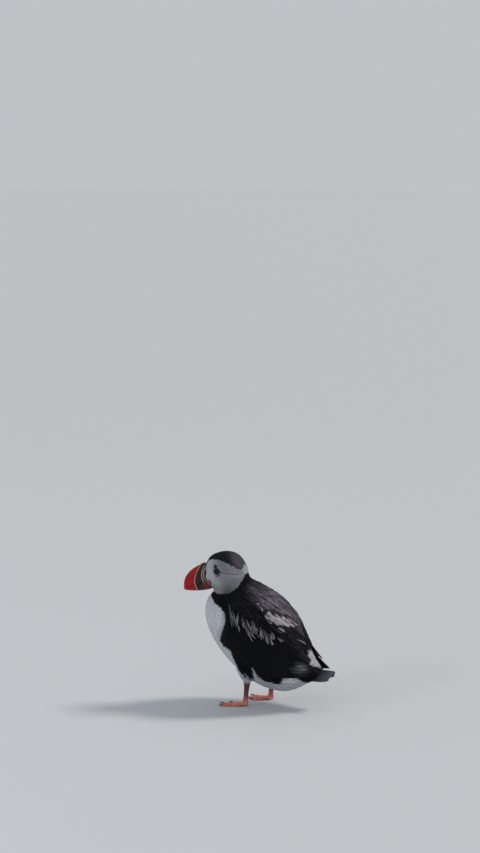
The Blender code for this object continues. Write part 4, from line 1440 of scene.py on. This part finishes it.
def slant_feathers(ground, rows, sign, bow=0.0):
    """The lines of feathers whose roots and tips are given on the slanted plane.

    bow is how far each bends aside. Those that would leave the skin or cross the back's middle are dropped.
    """
    along = lengthways(FLIGHT_VANE)[None, :, None]
    root, tip = (np.array(v, float)[:, None] for v in zip(*rows))
    aside = unit((tip - root) @ np.array(((0, 1), (-1, 0))))
    bent = np.broadcast_to(bow, len(rows))[:, None, None] * np.sin(math.pi * along) * aside
    s, t = np.moveaxis(root + (tip - root) * along + bent, -1, 0)
    middles, normals = ground.seen(s, t, sign)
    kept = (middles[..., 0] * sign > BACK_MIDDLE).all(1) & flat_enough(normals)
    middles, normals = middles[kept], normals[kept]
    return middles, normals, side_ways(middles, normals)


# Coverts and scapulars: their lengths, half widths and the height at which their tips stand.
COVERT_LENGTH, COVERT_HALF, COVERT_LIFT = 11.5, 2.3, 1.5
SCAPULAR_LINES, SCAPULARS_IN_LINE, SCAPULAR_LONG, SCAPULAR_HALF, SCAPULAR_LIFT = 8, 13, 17, 3.3, 1.5


def scapular_rows():
    """Roots and tips of scapulars, in lines that run down and back over the shoulder."""
    rows = []
    for line in range(SCAPULAR_LINES):
        for i in range(SCAPULARS_IN_LINE):
            s = -18 + 6.4 * i - 2.7 * line + rng.normal(0, 0.8)
            t = 167 - 4.5 * i - 3.9 * line + rng.normal(0, 0.8)
            long = SCAPULAR_LONG + 0.5 * i
            rows.append(((s, t), (s + long * (0.62 + 0.014 * i), t - long * (0.66 - 0.008 * i))))
    return rows


def build_wing_coat(ground, dark_vane):
    """Coverts, larger towards the rear, with scapulars over them and the ruffled ones on top."""
    for side, sign in SIDES.items():
        roots = ground.scatter(wing_spacing, lambda p: ~bare_legs(p) & on_wing(p) & (p[:, 0] * sign > 0))
        size = wing_spacing(roots) / WING_SPACING[1]
        lines = lay(ground, roots, COVERT_LENGTH * size, BODY_VANE, 0.12)
        tones = feather_tones(lines[0], BODY_VANE, 0.13, 33, 0.8, 1.6)
        rise, steady = shingle(COVERT_LIFT * size, BODY_VANE), flat_enough(lines[1])
        coat = Coat(f"wing_coverts_{side}", dark_vane)
        coat.add(lines, COVERT_HALF * size, rise, BODY_VANE, TENT, tones, roots, steady)
        coat.build()

        lines = slant_feathers(ground, scapular_rows(), sign)
        tones = feather_tones(lines[0], FLIGHT_VANE, 0.10, 35, 0.85, 1.25)
        half = rng.normal(SCAPULAR_HALF, 0.3, len(tones))
        rise = shingle(rng.normal(SCAPULAR_LIFT, 0.2, len(tones)), FLIGHT_VANE, 0.5)
        coat = Coat(f"scapulars_{side}", dark_vane)
        coat.add(lines, half, rise, FLIGHT_VANE, BLADE, tones, lines[0][:, 0])
        if side == "left":
            add_ruffled(coat, ground, sign)
        coat.build()


def build_coat(ground):
    dark_vane = feather_material("dark_vane", 0.55, 0.015, 9.0, 0.08)
    pale_vane = feather_material("pale_vane", 0.85, 0.15, 7.0, 0.2)
    face_vane = feather_material("face_vane", 0.80, 0.15, 4.0, 0.2)
    build_head_coat(ground, face_vane, dark_vane)
    build_body_coat(ground, pale_vane, dark_vane)
    build_wing_coat(ground, dark_vane)
    build_flight_feathers(dark_vane)
    build_tail(dark_vane)


# ---------------------------------------------------------------- bill and eyes

# Rows of (h, culmen k, underside k, half width at the gape).
BILL_STATIONS = (
    (0.4, 19.4, -18.0, 9.6), (5.0, 18.9, -18.6, 9.0), (11.0, 18.0, -18.3, 8.2), (18.0, 16.7, -17.1, 7.0),
    (25.0, 14.5, -15.4, 5.8), (31.0, 11.4, -13.8, 4.7), (36.5, 7.0, -12.0, 3.6), (40.5, 1.6, -10.4, 2.6),
    (43.3, -5.4, -8.6, 1.0),
)
GAPE_K, GAPE_SAG, GAPE_HOOK, GAPE_SLIT, TIP_H, TIP_K = -5.5, 1.6, 0.4, 0.12, 43.4, -6.6
RIDGE_HALF, KEEL_HALF, BILL_FULLNESS = 0.24, 0.42, 2.2
BILL_RINGS, BILL_HALF_AROUND = 230, 64
# How far the rims and the chevron stand out, how deep the grooves are and how far past the chevron they lie.
RIM_RISE, CHEVRON_RISE, GROOVE_DEPTH, GROOVE_GAPS = 0.45, 0.42, 0.30, (5.2, 9.6, 13.6)
BILL_RED = np.array((0.40, 0.007, 0.012))
# Painted shade on the red of the bill.
BILL_RED_SHADE = np.array((0.16, 0.004, 0.010))
BILL_PALE = np.array((0.55, 0.33, 0.24))
RIM_PALE = np.array((0.42, 0.34, 0.27))
BILL_SLATE = np.array((0.024, 0.011, 0.010))
BILL_BASE_RED = np.array((0.14, 0.022, 0.025))
BILL_TIP_PALE = np.array((0.55, 0.10, 0.06))


def chevron_h(k):
    """Where the pale chevron's middle is: upright on the lower mandible, slanting back up the upper."""
    over = np.maximum(k + 3.0, 0)
    return 22.8 - 0.42 * over - 0.0165 * over**2


def bill_lines(h, k):
    """How strongly places on the bill are in its base rims, its pale chevron and its grooves."""
    outer_rim = stripe(h - (8.9 - 0.028 * (k + 2) ** 2), 0.85)
    inner_rim = stripe(h - (5.4 - 0.040 * k**2), 0.75)
    chevron = stripe(h - chevron_h(k), 0.90)
    grooves = sum(bell(h - chevron_h(k) - gap, 0.45) for gap in GROOVE_GAPS) * smooth_step(k, -10, -7)
    return outer_rim, inner_rim, chevron, grooves


def bill_colours(h, k, points):
    """Slate base with red at its foot, pale rims and chevron, and a red tip."""
    outer_rim, inner_rim, chevron, grooves = bill_lines(h, k)
    streak = 0.5 + 0.5 * noise(points, 1.6, 9)
    past = h - chevron_h(k)
    red = BILL_RED * (0.85 + 0.3 * streak[:, None])
    # Painted shade: darkest just past the chevron, and along the lower mandible.
    red = blend(red, BILL_RED_SHADE, 0.75 * (1 - smooth_step(past, 0.5, 5.5)) + 0.20 * smooth_step(-k, 8, 14))
    red = blend(red, BILL_TIP_PALE, 0.4 * smooth_step(h, 38, 43))
    # Painted shade in the grooves.
    red = red * (1 - 0.55 * grooves[:, None])
    slate = BILL_SLATE * (0.8 + 0.5 * streak[:, None])
    slate = blend(slate, BILL_BASE_RED, smooth_step(-k, 5, 12) * (1 - smooth_step(h, 9, 16)))
    colour = blend(red, slate, 1 - smooth_step(past, -0.4, 0.4))
    rims = np.clip(0.9 * outer_rim + 0.9 * inner_rim, 0, 1) * smooth_step(k, -10, -5)
    colour = blend(colour, RIM_PALE, rims)
    return blend(colour, BILL_PALE, chevron * (0.75 + 0.2 * streak))


def bill_piece(name, upper, look, node):
    """A mandible with its raised rims, chevron and grooves."""
    stations = np.linspace(0, len(BILL_STATIONS) - 1, BILL_RINGS)
    h, culmen, keel, half = (v[:, None] for v in spline(BILL_STATIONS, stations).T)
    share = h / TIP_H
    gape = GAPE_K - GAPE_SAG * np.sin(math.pi * share) + (TIP_K - GAPE_K) * share**3 * GAPE_HOOK
    sign, far, ridge = (1, culmen, RIDGE_HALF) if upper else (-1, keel, KEEL_HALF)
    edge = gape + sign * GAPE_SLIT
    rise = np.sin(math.pi / 2 * np.linspace(0, 1, BILL_HALF_AROUND))
    full = (ridge + (1 - ridge) * (1 - rise**BILL_FULLNESS)) * np.sqrt(np.clip(1 - rise**9, 0, 1))
    k = edge + (far - edge) * rise
    h = np.broadcast_to(h, k.shape)
    outer_rim, inner_rim, chevron, grooves = bill_lines(h, k)
    swell = RIM_RISE * outer_rim + RIM_RISE * inner_rim + CHEVRON_RISE * chevron - GROOVE_DEPTH * grooves
    # The gape's lips turn in a little, so that the slit between them has depth.
    x = (half * full + swell * (full > 0.02)) * (1 - 0.07 * bell(rise, 0.05))
    k = k + sign * swell * rise**4
    points = np.concatenate([head_place(h, x, k), head_place(h, -x, k)[:, ::-1]], 1).reshape(-1, 3)
    h, _, k = head_parts(points)
    faces = turned(tube_faces(BILL_RINGS, 2 * BILL_HALF_AROUND), not upper)
    obj = mesh_object(name, points, faces, look, bill_colours(h, k, points))
    dressed(obj, "bill_horn", node)


GAPE_ROSETTE = (-1.2, 10.4, -9.0)
ROSETTE_RADII = (3.0, 3.6, 3.9)
ROSETTE_RED = np.array((0.30, 0.14, 0.125))
FOLD_WIDTH, FOLD_DEPTH, ROSETTE_AROUND, ROSETTE_ROWS, ROSETTE_HOLE = 1.5, 0.09, 48, 24, 0.04


def rosette(side, look):
    """A small swollen piece of skin at the gape, with wavy folds side by side across it."""
    sign = SIDES[side]
    drops = np.linspace(ROSETTE_HOLE, math.pi - ROSETTE_HOLE, ROSETTE_ROWS)
    turn, drop = np.meshgrid(circle(ROSETTE_AROUND), drops)
    uneven = 1 + 0.05 * np.sin(3 * turn + 1) + 0.03 * np.sin(7 * turn)
    off_h = ROSETTE_RADII[0] * uneven * np.sin(drop) * np.cos(turn)
    off_k = ROSETTE_RADII[2] * uneven * np.sin(drop) * np.sin(turn)
    wave = np.sin(2 * math.pi * off_h / FOLD_WIDTH + 0.9 * np.sin(off_k * 0.9))
    h, x, k = GAPE_ROSETTE
    x = sign * x + ROSETTE_RADII[1] * (1 + FOLD_DEPTH * wave) * np.cos(drop) * sign
    points = head_place(h + off_h, x, k + off_k).reshape(-1, 3)
    faces = turned(tube_faces(ROSETTE_ROWS, ROSETTE_AROUND), sign > 0)
    # Painted shade: darker in the troughs between the folds.
    tones = ROSETTE_RED * (0.78 + 0.22 * wave).reshape(-1, 1)
    dressed(mesh_object(f"rosette_{side}", points, faces, look, tones), "gape_skin", f"gape_{side}")


def build_bill():
    horn = horn_material("bill_horn", 0.34, 0.18, 260.0)
    bill_piece("horn_upper", True, horn, "bill_upper")
    bill_piece("horn_lower", False, horn, "bill_lower")
    soft = Nodes("gape_skin", 0.5, Subsurface_Weight=0.2, Subsurface_Scale=1.0 * MM)
    soft.link(soft.own_colours(), "Base Color")
    for side in SIDES:
        rosette(side, soft.material)


EYE_AXIS = unit(np.array((0.10, 0.99, 0.03)))
PUPIL, IRIS = 1.7, 3.1
# A clear coat over the eye's surface stands for the cornea, which bulges this far.
CORNEA_BULGE = 0.55
IRIS_BROWN = np.array((0.024, 0.010, 0.006))


def eye_shell(sign, outline, turns):
    """Points of a shape turned about the eye's axis: outline is rows of (radius, distance out)."""
    mirror = np.array((1, sign, 1))
    axis = EYE_AXIS * mirror
    level = unit(np.cross(axis, UP))
    upward = np.cross(level, axis)
    radius, out = (np.array(v)[:, None, None] for v in zip(*outline))
    turn = turns[None, :, None]
    off = radius * (np.cos(turn) * level + np.sin(turn) * upward) + out * axis
    h, x, k = np.moveaxis(off + np.array(EYE_PLACE) * mirror, -1, 0)
    return head_place(h, x, k).reshape(-1, 3)


EYEBALL_AROUND = 72
# Angles from the eyeball's front, close together over the iris and the pupil.
EYEBALL_DROPS = np.concatenate([np.linspace(0.02, 0.9, 44), np.linspace(0.95, math.pi - 0.06, 22)])
PUPIL_BLACK = np.full(3, 0.0015)


def eyeball(side, look):
    """A ball that bulges at the cornea, with the iris and pupil under its gloss."""
    sign = SIDES[side]
    turns = circle(EYEBALL_AROUND)
    radius = EYE_RADIUS * np.sin(EYEBALL_DROPS)
    bulge = CORNEA_BULGE * (1 - smooth_step(radius, 1.6, 3.6)) * (EYEBALL_DROPS < 1.2)
    outline = list(zip(radius, EYE_RADIUS * np.cos(EYEBALL_DROPS) + bulge))
    points = eye_shell(sign, outline, turns)
    far, turn = np.repeat(radius, EYEBALL_AROUND), np.tile(turns, len(outline))
    streak = 1 + 0.35 * np.sin(turn * 37) * np.sin(turn * 23 + 1) + 0.4 * smooth_step(far, 2.0, 2.6)
    tones = IRIS_BROWN * (streak * (1 - 0.85 * smooth_step(far, IRIS - 0.25, IRIS + 0.1)))[:, None]
    tones = blend(tones, PUPIL_BLACK, 1 - smooth_step(far, PUPIL - 0.08, PUPIL + 0.08))
    faces = turned(tube_faces(len(outline), EYEBALL_AROUND), sign < 0)
    dressed(mesh_object(f"eyeball_{side}", points, faces, look, tones), "eye", f"eye_{side}")


def build_eyes():
    """Wet eyes, and the horny plates over and under them."""
    wet = Nodes("eyeball", 0.5, Coat_Weight=0.7, Coat_Roughness=0.03, Coat_IOR=1.38, Specular_IOR_Level=0.0)
    wet.link(wet.own_colours(), "Base Color")
    for side in SIDES:
        eyeball(side, wet.material)
    horn = horn_material("eye_horn", 0.45, 0.2, 600.0)
    for side in SIDES:
        for level in PLATE_SLATE_AND_SHADE:
            build_plate(level, side, horn)


# The upper plate is near black with painted shade, and the lower is slate.
PLATE_SLATE_AND_SHADE = {"upper": np.array((0.012, 0.012, 0.017)), "lower": np.array((0.105, 0.105, 0.125))}
PLATE_VOXEL, PLATE_SMOOTHING, PLATE_SWELL, PLATE_SINK = 0.16, 5, 0.22, 0.35


def build_plate(level, side, look):
    """A horny plate beside the eye: the solid's shape with its edges worn round."""
    name = f"plate_{level}_{side}"
    mesh = remeshed(name, node_copy(f"eye_{name}"), PLATE_VOXEL, PLATE_SMOOTHING)
    points, normals = bird_places(mesh.vertices), vectors(mesh.vertices, "normal")
    move(mesh, points + PLATE_SWELL * normals - np.array((SIDES[side] * PLATE_SINK, 0, 0)))
    paint(mesh, PLATE_SLATE_AND_SHADE[level] * (1 + 0.25 * noise(points, 0.8, 12))[:, None])
    finished(mesh, look)
    dressed(linked(name, mesh), "eye_horn", f"eye_{name}")


# ---------------------------------------------------------------- claws

CLAW_DARK = np.array((0.016, 0.013, 0.012))
CLAW_RINGS, CLAW_AROUND = 22, 20
# How far a claw's root lies inside its toe, how much its radius falls and what is left at the tip, how high
# it arches, the tip's height without the arch, and its width for its depth.
CLAW_SINK, CLAW_ROOT, CLAW_TIP, CLAW_ARCH, CLAW_END, CLAW_FLAT = 2.0, 1.30, 0.10, 1.1, 0.35, 0.72


def build_claws():
    """A curved claw on each toe, joined as one piece for each foot."""
    look = horn_material("claw_horn", 0.35, 0.2, 500.0)
    share = np.linspace(0, 1, CLAW_RINGS)
    turns = circle(CLAW_AROUND)[None, :, None]
    radius = CLAW_ROOT * (1 - share**1.6) + CLAW_TIP
    for side, sign in SIDES.items():
        points, faces = [], []
        for count, toe in enumerate(TOES):
            end, _ = toe_path(toe, side, np.array(1.0))
            ahead = toe_ahead(toe, sign)
            height = end[2] + CLAW_ARCH * np.sin(math.pi * 0.9 * share) - (end[2] - CLAW_END) * share**2
            path = end + ahead * (CLAW_LENGTH * share - CLAW_SINK)[:, None]
            path[:, 2] = np.maximum(height, radius * 0.9)
            ring = CLAW_FLAT * np.cos(turns) * np.cross(UP, ahead) + np.sin(turns) * UP
            points.append((path[:, None] + radius[:, None, None] * ring).reshape(-1, 3))
            faces.append([f + count * CLAW_RINGS * CLAW_AROUND for f in tube_faces(CLAW_RINGS, CLAW_AROUND)])
        points = np.concatenate(points)
        faces = [np.concatenate(group) for group in zip(*faces)]
        tones = CLAW_DARK * (1 + 0.3 * noise(points, 1.0, 14))[:, None]
        dressed(mesh_object(f"claws_{side}", points, faces, look, tones), "leg_skin")


# ---------------------------------------------------------------- camera, floor and light

# Distances of the camera, the floor and the lamps are in metres.
VIEW_DISTANCE, FAR_CLIP = 3.0, 200.0
# At the bird, the picture is PICTURE_HEIGHT mm high, and its middle is PICTURE_LEFT mm to the left of and
# PICTURE_UP mm above the place that is AIM_HEIGHT mm over the bird's middle.
PICTURE_HEIGHT, PICTURE_LEFT, PICTURE_UP, AIM_HEIGHT = 1194.2, 23.8, 273.98, 115.0
FLOOR_GREY, FLOOR_RADIUS = (0.546, 0.570, 0.594, 1), 90
SKY, SKY_STRENGTH = (0.74, 0.77, 0.80, 1), 0.70
SUN_WAY, SUN_SPREAD, SUN_STRENGTH, SUN_COLOUR = (1.1, -1.4, -1.9), math.radians(14), 1.7, (1.0, 0.95, 0.89)
FILL_PLACE, FILL_SIZE, FILL_POWER, FILL_COLOUR = (1.9, -1.4, 1.3), 0.6, 7, (0.90, 0.94, 1.0)
# What the fill light looks at: a place over the floor, in metres.
FILL_TARGET = (0, 0, 0.1)


def aim(obj, way):
    """Turns a camera or a lamp to look along way."""
    obj.rotation_euler = Vector(way).to_track_quat("-Z", "Y").to_euler()


def build_camera():
    """The photo's view, along the direction that the markings are drawn on."""
    back, right = Vector(LOOK_BACK), Vector(LOOK_S)
    up = back.cross(right)
    data = bpy.data.cameras.new("camera")
    data.lens = data.sensor_width * VIEW_DISTANCE / (PICTURE_HEIGHT * MM)
    data.clip_end = FAR_CLIP
    camera = linked("camera", data)
    camera.location = Vector(to_world((0, 0, AIM_HEIGHT))) + back * VIEW_DISTANCE
    aim(camera, (up * PICTURE_UP - right * PICTURE_LEFT) * MM - back * VIEW_DISTANCE)
    bpy.context.scene.camera = camera


def light(name, kind, way, power, colour):
    """A lamp that shines along way."""
    data = bpy.data.lights.new(name, kind)
    data.energy = power
    data.color = colour
    lamp = linked(name, data)
    aim(lamp, way)
    return lamp


def build_stage():
    """A wide pale floor that meets an even pale sky, and soft light from behind on the right."""
    bm = bmesh.new()
    bmesh.ops.create_circle(bm, cap_ends=True, segments=96, radius=FLOOR_RADIUS)
    floor = linked("floor", mesh_from("floor", bm))
    floor.data.materials.append(Nodes("floor", 0.9, Base_Color=FLOOR_GREY).material)
    world = bpy.data.worlds.new("studio")
    world.use_nodes = True
    sky = world.node_tree.nodes["Background"].inputs
    sky["Color"].default_value = SKY
    sky["Strength"].default_value = SKY_STRENGTH
    bpy.context.scene.world = world
    sun = light("sun_behind", "SUN", SUN_WAY, SUN_STRENGTH, SUN_COLOUR)
    sun.data.angle = SUN_SPREAD
    fill = light("fill", "AREA", Vector(FILL_TARGET) - Vector(FILL_PLACE), FILL_POWER, FILL_COLOUR)
    fill.data.shape = "DISK"
    fill.data.size = FILL_SIZE
    fill.location = FILL_PLACE
    bpy.context.scene.view_settings.view_transform = "Standard"


# ---------------------------------------------------------------- all together

build_camera()
build_stage()
skin = build_skin()
ground = Ground(skin.data)
build_coat(ground)
build_bill()
build_eyes()
build_claws()
